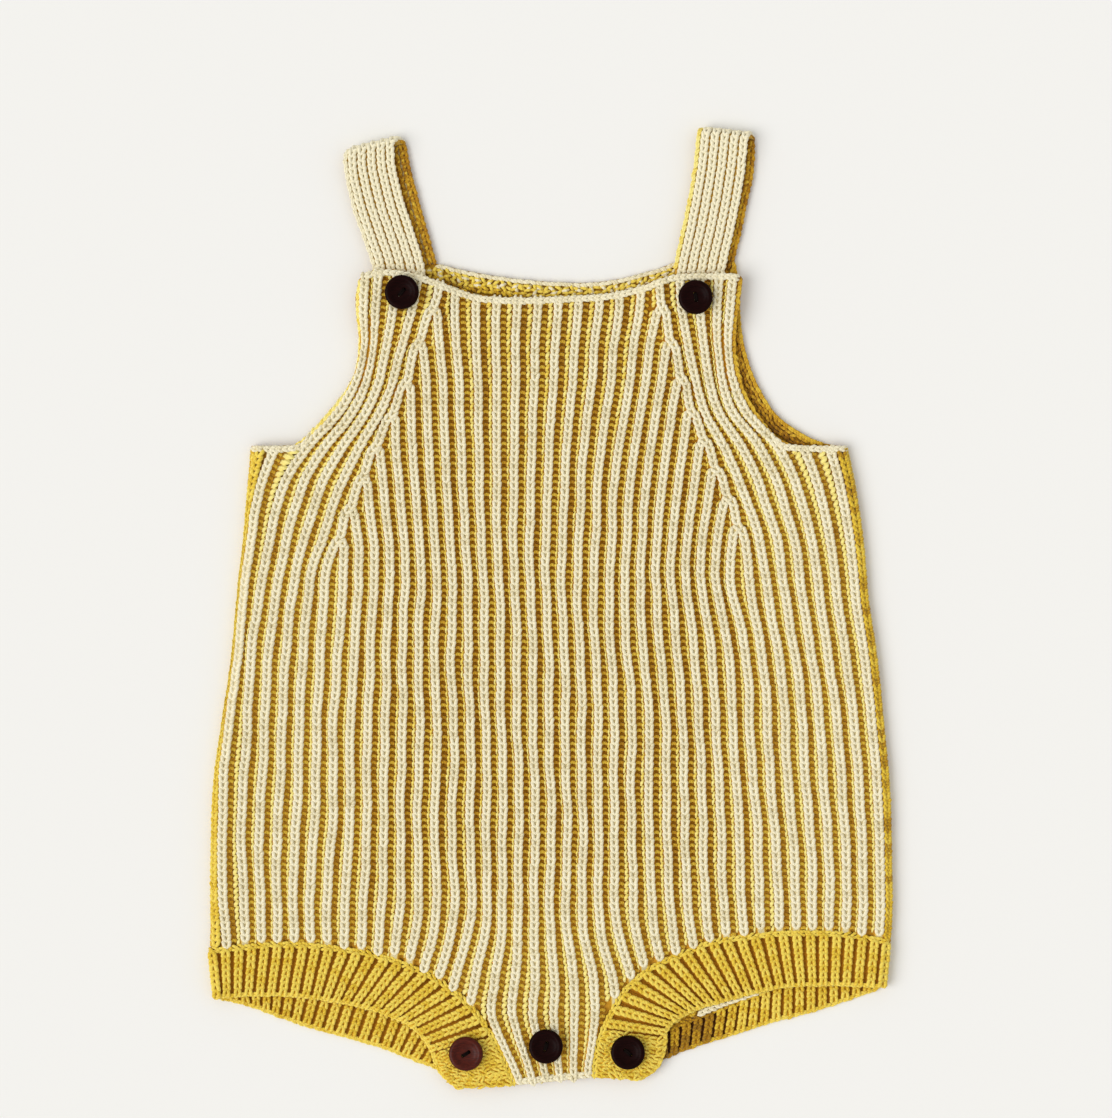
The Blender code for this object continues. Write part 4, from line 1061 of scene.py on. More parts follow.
# %% A closed sheet between two surfaces
def cloth(name, outline, ribbed, plain, plain_depth):
    """A wall of cloth over an outline, between a ribbed and a plain face given as functions of x, y.

    The ribbed face is filled first, because its lines cut the outline into more points, which the
    plain face then shares. The plain face has one depth of colour all over."""
    here, faces, _ = triangulate(outline, rib_lines(outline), SNAP)
    rim = rim_of(faces)
    there, other_faces, origins = triangulate(here[rim], [], EXACT)
    twin = {origin: index for index, given in enumerate(origins) for origin in given if origin < len(rim)}
    count = len(here)
    quads = [
        (index, count + twin[place], count + twin[(place + 1) % len(rim)], rim[(place + 1) % len(rim)])
        for place, index in enumerate(rim)
    ]
    points = np.concatenate([
        np.column_stack([here, ribbed(here[:, 0], here[:, 1])]),
        np.column_stack([there, plain(there[:, 0], there[:, 1])]),
    ])
    depth = np.concatenate([depth_of_colour(here[:, 0], here[:, 1]), np.full(len(there), plain_depth)])
    made_faces = faces.tolist() + (other_faces[:, ::-1] + count).tolist() + quads
    if points[:count, 2].mean() < points[count:, 2].mean():
        made_faces = [face[::-1] for face in made_faces]
    used = np.zeros(len(points), dtype=bool)
    used[[index for face in made_faces for index in face]] = True
    renumber = (np.cumsum(used) - 1).tolist()
    mesh = bpy.data.meshes.new(name)
    mesh.from_pydata(points[used].tolist(), [], [[renumber[i] for i in face] for face in made_faces])
    numbers = np.array([0] * len(faces) + [1] * len(other_faces) + [0] * len(quads), dtype=np.int32)
    mesh.polygons.foreach_set("material_index", numbers)
    mesh.shade_smooth()
    mesh.attributes.new("depth", "FLOAT", "POINT").data.foreach_set("value", depth[used])
    print(f"{name}: {sum(len(face) - 2 for face in made_faces)} triangles")
    return piece(name, mesh, [two_colour_ground, inside_ground])


# %% The front's sheet
GROUND_LOW, GROUND_HIGH = 0.7 * MM, 2.1 * MM  # of furrow and crest over the front's inside
GROUND_ROLL = 0.4  # of the roll at the side seams, that the sheet under the stitches takes


def front_ground_top(x, y):
    top = GROUND_LOW + (GROUND_HIGH - GROUND_LOW) * rib_share(x, y)
    return front_inside(x, y) + top - GROUND_ROLL * seam_roll(x, y)


front_cloth = cloth("front_cloth", front_edge, front_ground_top, front_inside, 0.4)
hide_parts("front_panel")

# %% The back's sheet
BACK_GROUND = 1.1 * MM  # height of its plain face, under the stitches of the wrong side
BACK_FURROW, BACK_ROLL = 0.7 * MM, 0.3  # how far its furrows stay off the board, and its share of the roll


def level_face(z):
    """A surface of the same height all over."""
    return lambda x, y: np.full_like(x, z)


def back_under(x, y):
    return BACK_FURROW * (1 - rib_share(x, y)) + BACK_ROLL * seam_roll(x, y)


back_cloth = cloth("back_cloth", back_edge, back_under, level_face(BACK_GROUND), 0.3)
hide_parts("back_panel")

# %% [markdown]
# ### Edges of the front
#
# The bib's top edge is cast off: one more chain of cream stitches that lies across the ends of the ribs.
# The same cast-off closes the crotch tab, and a thin selvedge runs down both armholes. Each is the same
# stitch again, along the line of the edge and a little inside it.


# %% Chains along edges
def inset(line, distance):
    """A line moved sideways, to its right as it runs."""
    step = unit(np.gradient(line, axis=0))
    return line + distance * np.stack([step[:, 1], -step[:, 0]], axis=1)


def edge_chain(surface, tables, distance, above, turn=0.05, shift=0.06 * MM, count=240, trim=0):
    """Uneven stitches along tables' lines, moved in from them and laid over a surface."""
    places = []
    for rows in tables:
        line = inset(along(rows, count), distance)[trim : count - trim]
        places.append(stitches_on(path_on(surface, line[:, 0], line[:, 1], above)))
    return uneven(np.concatenate(places), turn, shift)


EDGE_STITCH = knit_stitch(width=3.5 * MM, row=2.6 * MM, radius=0.8 * MM)
SELVEDGE = knit_stitch(width=2.2 * MM, row=2.6 * MM, radius=0.62 * MM)
bib_chain = edge_chain(front_crest, [FRONT_NECK], 1.7 * MM, -0.55 * MM, trim=12)
knit("bib_edge", [(EDGE_STITCH, bib_chain, 0.0)], cream_cotton)
tab_rows = np.linspace(leg_line("leg_band_left", "front")[0], leg_line("leg_band_right", "front")[0], 12)
tab_chain = edge_chain(front_crest, [tab_rows], -1.5 * MM, -1.2 * MM, turn=0.15)
knit("crotch_tab_edge", [(EDGE_STITCH, tab_chain, 0.0)], cream_cotton)

# %% The armholes' selvedges, with a second chain that stands below the left one
left_rows, right_rows = FRONT_LEFT_ARMHOLE[1:], FRONT_RIGHT_ARMHOLE[:-1]
# The left selvedge faces the light and takes the lit mustard, the right one the darker mustard: painted light
# and shade
for name, rows, inside, above, tone, yarn in (
    ("armhole_edge_left", left_rows, 0.7 * MM, -1.5 * MM, 0.2, lit_mustard),
    ("armhole_edge_right", right_rows, 0.7 * MM, -1.5 * MM, 0.2, shaded_mustard),
    ("armhole_side_left", left_rows, 0.4 * MM, -2.6 * MM, 0.3, cream_cotton),
):
    knit(name, [(SELVEDGE, edge_chain(front_crest, [rows], inside, above, turn=0.2), tone)], yarn)
underarm_rows = (FRONT_LEFT_ARMHOLE[:3], FRONT_RIGHT_ARMHOLE[-3:])
underarm_chain = edge_chain(front_crest, underarm_rows, 1.4 * MM, -0.8 * MM, turn=0.1, count=60)
knit("underarm_edges", [(EDGE_STITCH, underarm_chain, 0.0)], cream_cotton)

# %% [markdown]
# ### Sides
#
# The body is a tube, so at both sides the knit turns round from the front to the back. One mustard
# column stands on edge there and closes the gap between the two layers.

# %% Side columns
SIDE_STITCH = knit_stitch(width=4.6 * MM, radius=0.8 * MM)
SIDE_IN, SIDE_HEIGHT = 0.7 * MM, 2.5 * MM  # of the column on edge, from the side and over the surface
SIDE_FACES, OUTER_FACES = np.array([(0.94, 0.0, 0.34), (0.42, 0.0, 0.91)])  # outwards and up
OUTER_WIDTH, LEAST_OUTER = 5.0 * MM, 0.3  # of the front's outermost column, and its least share of that
OUTER_STITCH = knit_stitch(width=OUTER_WIDTH, radius=0.9 * MM)


def outer_places(column, way, rib):
    """A column that fills the front between its outermost rib and the side."""
    y = np.linspace(LOWEST_SIDE + 1 * MM, UNDERARM - 2 * MM, 400)
    edge = side(y, column)
    room = way * (edge - ribs_at(y)[:, rib]) - STITCH / 2
    width = np.clip((room + 1.0 * MM) / OUTER_WIDTH, LEAST_OUTER, 1.0)
    x = edge - way * (room / 2 - 0.1 * MM)
    points = np.column_stack([x, y, front_crest(x, y) - 1.1 * YARN])
    return stitches_on(line_of(points, OUTER_FACES * (way, 1, 1), width))


def side_places(column, way):
    """The column that stands on edge, between the front and the back."""
    y = np.linspace(LOWEST_SIDE + 0.3 * MM, UNDERARM - 1 * MM, 400)
    points = np.column_stack([side(y, column) - way * SIDE_IN, y, np.full_like(y, SIDE_HEIGHT)])
    return stitches_on(line_of(points, SIDE_FACES * (way, 1, 1)))


knit(
    "side_columns",
    [
        (SIDE_STITCH, uneven(np.concatenate([side_places(1, -1), side_places(2, 1)])), 0.0),
        # The left column is painted lighter and the right one darker: painted light and shade from the left
        (OUTER_STITCH, uneven(outer_places(1, -1, 0)), 0.2),
        (OUTER_STITCH, uneven(outer_places(2, 1, RIBS - 1)), -0.5),
    ],
    mustard_cotton,
)

# %% [markdown]
# ### The inside of the back
#
# Above the neckline, at the armholes and in the leg openings the inside of the back shows. There the
# colours change places: what is a furrow on the right side is a mustard column on the wrong side. Only
# the stitches that the front leaves open to view are made.

# %% Columns inside the back
BACK_STITCH = knit_stitch(width=5.4 * MM, radius=1.1 * MM)
UNDER_FRONT = 4 * MM  # how far the columns go on under the front and the bands
INSIDE_END, INSIDE_ROOM = 0.8 * MM, 2.5 * MM  # how far inside the edge they end, and the room they need
INSIDE_BAR, INSIDE_BAR_WIDTH = -1.5 * MM, 1.6  # height over the back of the bars beside them, and width
IN_OPENING = LOWEST_SIDE + 10 * MM  # above this only edges of the back show
back_surface = level_face(BACK_WALL)


def band_outline(name):
    rows = flat_rows(name, "front")
    return np.concatenate([rows[:, :2], rows[::-1, 2:]])


back_y = np.arange(back_edge[:, 1].min(), back_edge[:, 1].max(), FINE)
back_rib_x = ribs_at(back_y)
cover = [front_edge] + [band_outline(name) for name in BANDS]
inside_places, inside_bars = [], []
for rib in range(RIBS - 1):
    x = (back_rib_x[:, rib] + back_rib_x[:, rib + 1]) / 2
    room = back_rib_x[:, rib + 1] - back_rib_x[:, rib]
    hidden = np.max([margin(outline, x, back_y) for outline in cover], axis=0)
    wanted = (margin(back_edge, x, back_y) > INSIDE_END) & (hidden < UNDER_FRONT) & (room > INSIDE_ROOM)
    columns = path_on(back_surface, x, back_y, -YARN)
    furrows = path_on(back_surface, back_rib_x[:, rib], back_y, INSIDE_BAR, INSIDE_BAR_WIDTH)
    for run in runs_of(wanted & (back_y < IN_OPENING), 5):
        inside_places.append(stitches_on(columns[run]))
        inside_bars.append(stitches_on(furrows[run]))
knit(
    "back_inside_columns",
    [
        (BACK_STITCH, uneven(np.concatenate(inside_places), turn=0.15), 0.0),
        # The bars lie in the furrows and are painted darker: painted shade
        (bar, uneven(np.concatenate(inside_bars), turn=0.15), -0.7),
    ],
    mustard_cotton,
)

# %% Purl rows and selvedges along the back's neck and armholes
PURL_BUMP = slipped_loop(row=3.0 * MM, radius=0.85 * MM)
BUMP_HEIGHT, BUMP_SHIFT = -0.6 * MM, 0.22 * MM  # over the back, and how far each strays
NECK_INSIDE = np.concatenate([table("xy", [(-66.0, 361.5)]), BACK_NECK])
back_arm_rows = (BACK_LEFT_ARMHOLE[1:], BACK_RIGHT_ARMHOLE[:-1])
# A sliver of the back's cream inside shows between the two layers of the right leg band
LEG_SLIVER = table("xy", [(65.0, 33.0), (73.0, 36.6), (81.5, 39.6), (91.0, 42.9)])


def bumps(rows, distance, turn):
    """A row of purl bumps along an edge of the back, seen from its inside."""
    return edge_chain(back_surface, [rows], distance * MM, BUMP_HEIGHT, turn, BUMP_SHIFT)


knit(
    "back_neck_edge",
    [
        (SELVEDGE, edge_chain(back_surface, [BACK_NECK], 0.9 * MM, -0.5 * MM, turn=0.15), 0.0),
        # Bumps farther in from the neck edge are darker: painted shade
        (PURL_BUMP, bumps(NECK_INSIDE, 3.1, 0.7)[::2], 0.1),
        (PURL_BUMP, bumps(NECK_INSIDE, 5.0, 0.7)[::3], -0.2),
    ],
    cream_cotton,
)
# Rows farther in from the back's neck edge, towards the bib, are darker: painted shade
neck_rows = ((2.6, 0.9), (4.3, 0.5), (6.0, 0.0), (7.7, -0.7))
knit(
    "back_neck_bumps",
    [(PURL_BUMP, bumps(NECK_INSIDE, inside, 0.7), tone) for inside, tone in neck_rows],
    mustard_cotton,
)
# Rows farther in from the armhole's edge, towards the front, are darker: painted shade
arm_rows = [(rows, *row) for rows in back_arm_rows for row in ((2.5, -0.2), (4.1, -0.6), (5.7, -1.0))]
knit(
    "back_armhole_edges",
    [
        (SELVEDGE, edge_chain(back_surface, back_arm_rows, 0.9 * MM, -0.6 * MM), 0.2),
        *((PURL_BUMP, bumps(rows, inside, 0.3), tone) for rows, inside, tone in arm_rows),
    ],
    shaded_mustard,
)
sliver_chain = edge_chain(back_surface, [LEG_SLIVER], 0.2 * MM, 0.3 * MM, turn=0.2)
knit("leg_opening_inside", [(EDGE_STITCH, sliver_chain, 0.3)], cream_cotton)

# %% [markdown]
# ## Strips: the leg bands and the straps
#
# A band or a strap is one strip of rib that folds over, round the side or over the shoulder. It could be
# bent from a flat strip with a modifier. Here its cross lines are worked out one after another instead,
# from the same tables as its solid, so that it lies exactly where the solid does.


# %% A closed strip through its cross lines
def strip(name, rings, depths, material):
    """A closed strip through rings of points, with a depth for the colour of each point."""
    rings, depths = np.stack(rings, axis=1), np.stack(depths, axis=1)
    number = np.arange(depths.size).reshape(depths.shape)
    near, far = number[:-1], number[1:]
    faces = np.stack([np.roll(near, 1, axis=1), near, far, np.roll(far, 1, axis=1)], axis=-1)
    ends = [number[0].tolist()[::-1], number[-1].tolist()]
    mesh = bpy.data.meshes.new(name)
    mesh.from_pydata(rings.reshape(-1, 3).tolist(), [], faces.reshape(-1, 4).tolist() + ends)
    outwards = bmesh.new()
    outwards.from_mesh(mesh)
    bmesh.ops.recalc_face_normals(outwards, faces=outwards.faces)
    outwards.to_mesh(mesh)
    outwards.free()
    mesh.shade_smooth()
    mesh.attributes.new("depth", "FLOAT", "POINT").data.foreach_set("value", depths.ravel())
    print(f"{name}: {2 * faces.shape[0] * faces.shape[1]} triangles")
    return piece(name, mesh, [material])


# %% [markdown]
# ### Leg bands
#
# Each band is picked up from the leg opening and knitted outwards in mustard, so its ribs point from the
# seam to the free edge and fan out round the leg. Near the crotch the ribs give way to an uneven,
# bumpy fabric where the button sits.

# %% Cross lines of a band
LINES_A_RIB = 4  # cross lines of a band for each rib
BAND_FLANK = 0.2  # least share of the ribs' rise that stays on round the fold


def band_lines(name):
    """Cross lines, four for a rib: seam and edge points, the shown face's direction and its crest.

    The last value tells which lines belong to the inside of the band's back layer."""
    fold = BANDS[name]["front"][-1]
    middle, way = BAND_WALL / 2, OUTWARDS[name]
    upper = 2 * BAND_FOLD + middle
    front_rows = flat_rows(name, "front")
    lines = []

    def cross_line(row, z, angle, crest, face):
        facing = (way * math.cos(angle) * face, 0.0, math.sin(angle) * face)
        lines.append((row[0], row[1], z, row[2], row[3], z, *facing, crest))

    for row in front_rows:
        to_fold = math.hypot(row[0] - fold[0], row[1] - fold[1])
        settled = float(smooth_step(1 - to_fold / BAND_SETTLE))
        z = FRONT_FLOOR + middle + settled * (upper - FRONT_FLOOR - middle)
        cross_line(row, z, math.pi / 2, BAND_WALL / 2 + BAND_RISE, 1)
    for turn in np.linspace(0, 1, 7):
        angle = math.pi * (0.5 - turn)
        row = fold.copy()
        row[[0, 2]] += way * (BAND_FOLD * math.cos(angle) - BAND_REACH)
        crest = BAND_WALL / 2 + BAND_RISE * max(math.sin(angle), BAND_FLANK)
        cross_line(row, middle + BAND_FOLD * (1 + math.sin(angle)), angle, crest, 1)
    for row in flat_rows(name, "back"):
        cross_line(row, middle, -math.pi / 2, BAND_WALL / 2, -1)
    rows = np.array(lines)
    length = lengths_along((rows[:, :3] + rows[:, 3:6]) / 2 + rows[:, 6:9] * BAND_WALL / 2)
    last_rib = length[len(front_rows)] + 1.0 * MM
    on_front = LINES_A_RIB * round(last_rib / BAND_RIB - 0.5) + LINES_A_RIB // 2
    on_back = round((length[-1] - last_rib) / (BAND_RIB / LINES_A_RIB))
    at = np.concatenate([
        np.linspace(0, last_rib, on_front + 1), np.linspace(last_rib, length[-1], on_back + 1)[1:]
    ])
    inner = at > length[len(front_rows) + 3]
    rows = sample(rows, length, at)
    return rows[:, :3], rows[:, 3:6], unit(rows[:, 6:9]), rows[:, 9], inner


print("cross lines of the left band:", len(band_lines("leg_band_left")[0]))

# %% Tone of a band
# INNER_SHADE is painted shade on the ribs of the band's back layer, which lie below the front layer
BAND_TONE, INNER_SHADE = 0.25, 0.1  # of its yarn, and what the ribs of its back layer are darker by
# The front layer keeps the light, which comes from the left, off the inside of the right leg opening
IN_SHADE = {"leg_band_left": 0.0, "leg_band_right": 1.35}
SHADE_X, SHADE_FADE = 58 * MM, 36 * MM


def shade_in_opening(name, x):
    """How much darker the back layer is, least at the band's ends."""
    return IN_SHADE[name] * smooth_step(1 - (abs(x) - SHADE_X) / SHADE_FADE)


# %% Ribs and chains of a band
BAND_STITCH, NARROWEST, WIDEST = 4.15 * MM, 0.55, 1.15  # width of its stitches, and how far that may vary
# Cross lines near the crotch without clear ribs, and how their stitches differ in width and depth
GARTER_LINES, GARTER_WIDTH, GARTER_DEPTH = 16, 0.72, 1.2
SEAM_END, EDGE_END, EDGE_END_INSIDE = 1.2 * MM, 1.1 * MM, 1.9 * MM  # how far the ribs stay from the rims
CAST_OFF, PICK_UP = 1.1 * MM, 0.7 * MM  # from the free edge and from the seam to their chains


def band_ribs(name):
    """Stitches of every rib of a band, from its seam to its free edge, and their tone."""
    seams, edges, facing, crests, inner = band_lines(name)
    tops = [ends + facing * crests[:, None] for ends in (seams, edges)]
    length = np.linalg.norm(edges - seams, axis=1)[:, None]
    places, tones = [], []
    for number in range(1, len(seams) - 1):
        bumpy = number < GARTER_LINES
        if number % 2 == 0 if bumpy else number % LINES_A_RIB != LINES_A_RIB // 2:
            continue
        step = 2 if bumpy else LINES_A_RIB
        gaps = [np.linalg.norm(ends[number + 1] - ends[number - 1]) / 2 * step for ends in tops]
        short = EDGE_END_INSIDE if bumpy or inner[number] else EDGE_END
        start, stop = SEAM_END / length[number, 0], 1 - short / length[number, 0]
        at = start + (stop - start) * np.linspace(0, 1, 30)
        line = seams[number] + (edges[number] - seams[number]) * at[:, None]
        width = np.interp(at, [0, 1], gaps) / (BAND_RIB * step / LINES_A_RIB)
        width = np.clip(width, NARROWEST, WIDEST) * (GARTER_WIDTH if bumpy else 1.0)
        out = crests[number] - YARN * (GARTER_DEPTH if bumpy else 1.0)
        made = stitches_on(line_of(line + facing[number] * out, facing[number], width))
        places.append(uneven(made, turn=0.35, shift=0.28 * MM) if bumpy else uneven(made))
        shaded = INNER_SHADE + shade_in_opening(name, edges[number, 0])
        tones.append(np.full(len(made), BAND_TONE - shaded * inner[number]))
    return np.concatenate(places), np.concatenate(tones)


def band_chain(name, rim, distance, above, turn):
    """Stitches along a band, a distance from its seam or its free edge, and their tone."""
    seams, edges, facing, crests, _ = band_lines(name)
    forward = unit(edges - seams)
    line = seams + forward * distance if rim == "seam" else edges - forward * distance
    places = uneven(stitches_on(line_of(line + facing * (crests + above)[:, None], facing)), turn)
    on_back = places[:, 2] < FRONT_FLOOR
    return places, BAND_TONE - shade_in_opening(name, places[:, 0]) * on_back


# %% The strip under them
GROUND_UNDER, GROUND_RISE = 1.6 * MM, 0.55 * MM  # of its furrows below the crest, and its own ribs
# Depth of its colour, darker as painted shade: in a furrow, less on a rib and more in the shade, and on its
# hidden side
FURROW_DEPTH, RIB_PALER, SHADE_DEEPER, HIDDEN_DEPTH = 0.85, 0.65, 0.25, 0.5
ACROSS = (0.06, 0.5, 0.94)  # shares of the band's width at which the strip has points


def band_ground(name):
    """The strip under a band's stitches."""
    seams, edges, facing, crests, inner = band_lines(name)
    number = np.arange(len(seams))
    rise = 0.5 - 0.5 * np.cos(2 * math.pi * number / LINES_A_RIB)
    rise[number < GARTER_LINES] = 1.0
    shown = crests - GROUND_UNDER + GROUND_RISE * rise
    shade = shade_in_opening(name, edges[:, 0])
    shown_depth = FURROW_DEPTH - RIB_PALER * rise + SHADE_DEEPER * shade * inner
    hidden, hidden_depth = np.full(len(seams), -BAND_WALL / 2), np.full(len(seams), HIDDEN_DEPTH)
    rings, depths = [], []
    for shares, out, depth in (
        (ACROSS, shown, shown_depth), (ACROSS[::-1], hidden, hidden_depth),
    ):
        for share in shares:
            rings.append(seams + (edges - seams) * share + facing * out[:, None])
            depths.append(depth)
    return strip(name.replace("band", "band_cloth"), rings, depths, mustard_ground)


# %% Both bands
band_stitch = knit_stitch(width=BAND_STITCH, radius=0.84 * MM, lean=0.5)
pick_up_stitch = knit_stitch(width=3.2 * MM, row=2.7 * MM, radius=0.72 * MM)
cast_off_stitch = knit_stitch(width=2.3 * MM, row=2.7 * MM, radius=0.62 * MM)
for name in BANDS:
    ribs = knit(
        name.replace("band", "band_ribs"), [(band_stitch, *band_ribs(name))], mustard_cotton
    )
    rims = knit(
        name.replace("band", "band_edges"),
        [
            (cast_off_stitch, *band_chain(name, "edge", CAST_OFF, -1.45 * MM, 0.15)),
            (pick_up_stitch, *band_chain(name, "seam", PICK_UP, -1.25 * MM, 0.25)),
        ],
        mustard_cotton,
    )
    ground = band_ground(name)
    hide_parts(name)
    seams, edges, *_ = band_lines(name)

# %% [markdown]
# ### Straps
#
# Five cream ribs close together, folded at the shoulder. Past the fold the strap shows its wrong side,
# mustard and in shade, beside the front run.


# %% Cross lines of a strap
def strap_lines(name):
    """Cross lines along a strap: middle, across, the shown face's direction, its crest, and the face.

    The face is 1 where the right side shows and -1 where the wrong side does."""
    front, back = STRAPS[name]["front"], STRAPS[name]["back"]
    middle = STRAP_WALL / 2
    upper = 2 * STRAP_FOLD + middle
    fold_x, fold_y, fold_tilt = front[-1]
    lines = []

    def cross_line(x, y, tilt, z, angle, face, crest):
        across = np.array([1.0, tilt, 0.0]) / math.hypot(1.0, tilt)
        facing = (0.0, face * math.cos(angle), face * math.sin(angle))
        lines.append((x, y, z, *across, *facing, crest, face))

    for x, y, tilt in along(front, 40):
        settled = float(smooth_step((fold_y - y) / STRAP_SETTLE))
        z = upper + settled * (FRONT_FLOOR + middle - upper)
        cross_line(x, y, tilt, z, math.pi / 2, 1, STRAP_WALL / 2 + STRAP_RISE)
    for turn in np.linspace(0, 1, 11)[1:-1]:
        angle = math.pi * (0.5 - turn)
        x = fold_x + turn * (back[0, 0] - fold_x)
        y = fold_y + STRAP_FOLD * math.cos(angle)
        z = middle + STRAP_FOLD * (1 + math.sin(angle))
        cross_line(x, y, fold_tilt, z, angle, 1, STRAP_WALL / 2 + STRAP_RISE * (1 - turn))
    for x, y, tilt in along(back, 30):
        cross_line(x, y, tilt, middle, -math.pi / 2, -1, STRAP_WALL / 2)
    return np.array(lines)


def sides_of_strap(name, hidden):
    """Cross lines of the strap's right side and of its wrong side, to a distance under the bib.

    The wrong side's go on into the fold, where the strap's inside shows from above."""
    lines = strap_lines(name)
    shown = lines[:, 1] > STRAPS[name]["front"][2, 1] - hidden
    is_right = lines[:, 10] == 1
    right = lines[is_right & shown]
    in_fold = is_right & (lines[:, 8] < 0)
    lines[in_fold, 6:9] *= -1
    lines[in_fold, 9] = STRAP_WALL / 2
    return right, lines[(in_fold | ~is_right) & shown]


print("cross lines of the left strap:", len(strap_lines("strap_left")))

# %% Stitches of a strap
STRAP_EDGE = 1.5 * MM  # width of the yellow selvedge at a strap's left
STRAP_RIB = (STRAP_WIDTH - STRAP_EDGE) / 5
STRAP_STITCH = 4.2 * MM
UNDER_BIB, SELVEDGE_UNDER = 10 * MM, 4 * MM  # how far its ribs and its selvedge go on under the bib
BUMP_ROWS = np.linspace(-0.37, 0.37, 8) * STRAP_WIDTH
# How far the strip lies below the crest under a rib and under a furrow, and the depth of its colour
# there, deeper in a furrow as painted shade
BELOW_RIB, BELOW_FURROW, STRIP_IN = (1.1 * MM, 0.05), (1.7 * MM, 0.62), 0.5 * MM


def along_strap(chosen, aside, under, width=1.0):
    """Stitches along cross lines, a distance aside of their middle and under their crest."""
    normal = chosen[:, 6:9]
    points = chosen[:, :3] + chosen[:, 3:6] * aside + normal * (chosen[:, 9:10] - under)
    return stitches_on(line_of(points, normal, width))


def strap_columns(chosen):
    """Stitches of the strap's five ribs along the cross lines of one side."""
    asides = [(rib - 2) * STRAP_RIB + STRAP_EDGE / 2 for rib in range(5)]
    return uneven(np.concatenate([along_strap(chosen, aside, YARN) for aside in asides]))


def strap_ground(name):
    """The strip under a strap's stitches."""
    lines = strap_lines(name)
    middle, across, facing = lines[:, :3], lines[:, 3:6] * lines[:, 10:], lines[:, 6:9]
    half_width = STRAP_WIDTH / 2 - STRIP_IN
    rings, depths = [], []
    for place in np.arange(0, 5.01, 0.5):
        below, depth = BELOW_RIB if place % 1 == 0.5 else BELOW_FURROW
        aside = np.clip((place - 2.5) * STRAP_RIB + STRAP_EDGE / 2, -half_width, half_width)
        rings.append(middle + across * aside + facing * (lines[:, 9:10] - below))
        depths.append(np.full(len(lines), depth))
    for aside in (half_width, 0.0, -half_width):
        rings.append(middle + across * aside - facing * STRAP_WALL / 2)
        depths.append(np.full(len(lines), HIDDEN_DEPTH))
    return strip(
        name.replace("strap", "strap_cloth"), rings, depths, two_colour_ground
    )


# %% Both straps
strap_stitch = knit_stitch(width=STRAP_STITCH, radius=0.88 * MM, lean=0.75)
for name in STRAPS:
    right_side, wrong_side = sides_of_strap(name, UNDER_BIB)
    ribs = knit(
        name.replace("strap", "strap_ribs"),
        [(strap_stitch, strap_columns(right_side), 0.8)], cream_cotton,
    )
    edge_lines, _ = sides_of_strap(name, SELVEDGE_UNDER)
    chain = along_strap(edge_lines, (STRAP_EDGE - STRAP_WIDTH) / 2, 1.3 * MM)
    selvedge = knit(
        name.replace("strap", "strap_selvedge"), [(SELVEDGE, uneven(chain, turn=0.2), 0.4)],
        {"strap_left": cream_cotton, "strap_right": lit_mustard}[name],
    )
    # The wrong side takes the darker mustard, its columns darker still: painted shade
    columns = strap_columns(wrong_side)
    _, whole_side = sides_of_strap(name, math.inf)
    purl = np.concatenate([along_strap(whole_side, aside, 0.55 * MM, 0.9) for aside in BUMP_ROWS])
    inside = knit(
        name.replace("strap", "strap_inside"),
        [(strap_stitch, columns, -0.6), (PURL_BUMP, uneven(purl, turn=0.5, shift=0.25 * MM), 0.2)],
        shaded_mustard,
    )
    ground = strap_ground(name)
    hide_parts(name)
    strap_length = lengths_along(strap_lines(name)[:, :3])[-1]
    print(f"{name}: cut {STRAP_WIDTH / MM:.0f} x {strap_length / MM:.0f} mm")

# %% [markdown]
# ## Buttons
#
# Small dished buttons turned from dark coconut shell or wood and polished, with two holes and brown
# thread. A cylinder would catch the light as one flat disc. The real rim is rounded and the middle
# sinks, which is what gives the small bright arc, so the profile is drawn and turned.

# %% A button's profile
low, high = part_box("button_strap_left")
BUTTON_RADIUS, BUTTON_HEIGHT = (high.x - low.x) / 2, high.z - low.z
DISH = 0.66  # height of the sunken middle, as a share
# Radius and height in shares, from the middle of the top round the rim to the middle below
BUTTON_PROFILE = [
    (0.0, DISH), (0.25, DISH), (0.46, 0.68), (0.58, 0.75), (0.66, 0.88), (0.73, 0.97), (0.82, 1.0),
    (0.90, 0.97), (0.96, 0.88), (1.0, 0.70), (1.0, 0.45), (0.95, 0.25), (0.84, 0.08), (0.7, 0.0),
    (0.0, 0.0),
]
print(f"button: {2 * BUTTON_RADIUS / MM:.1f} mm across, {BUTTON_HEIGHT / MM:.1f} mm high")

# %% The button turned and drilled
BUTTON_STEPS = 56
HOLE_RADIUS, HOLE_OFFSET = 0.85 * MM, 1.5 * MM


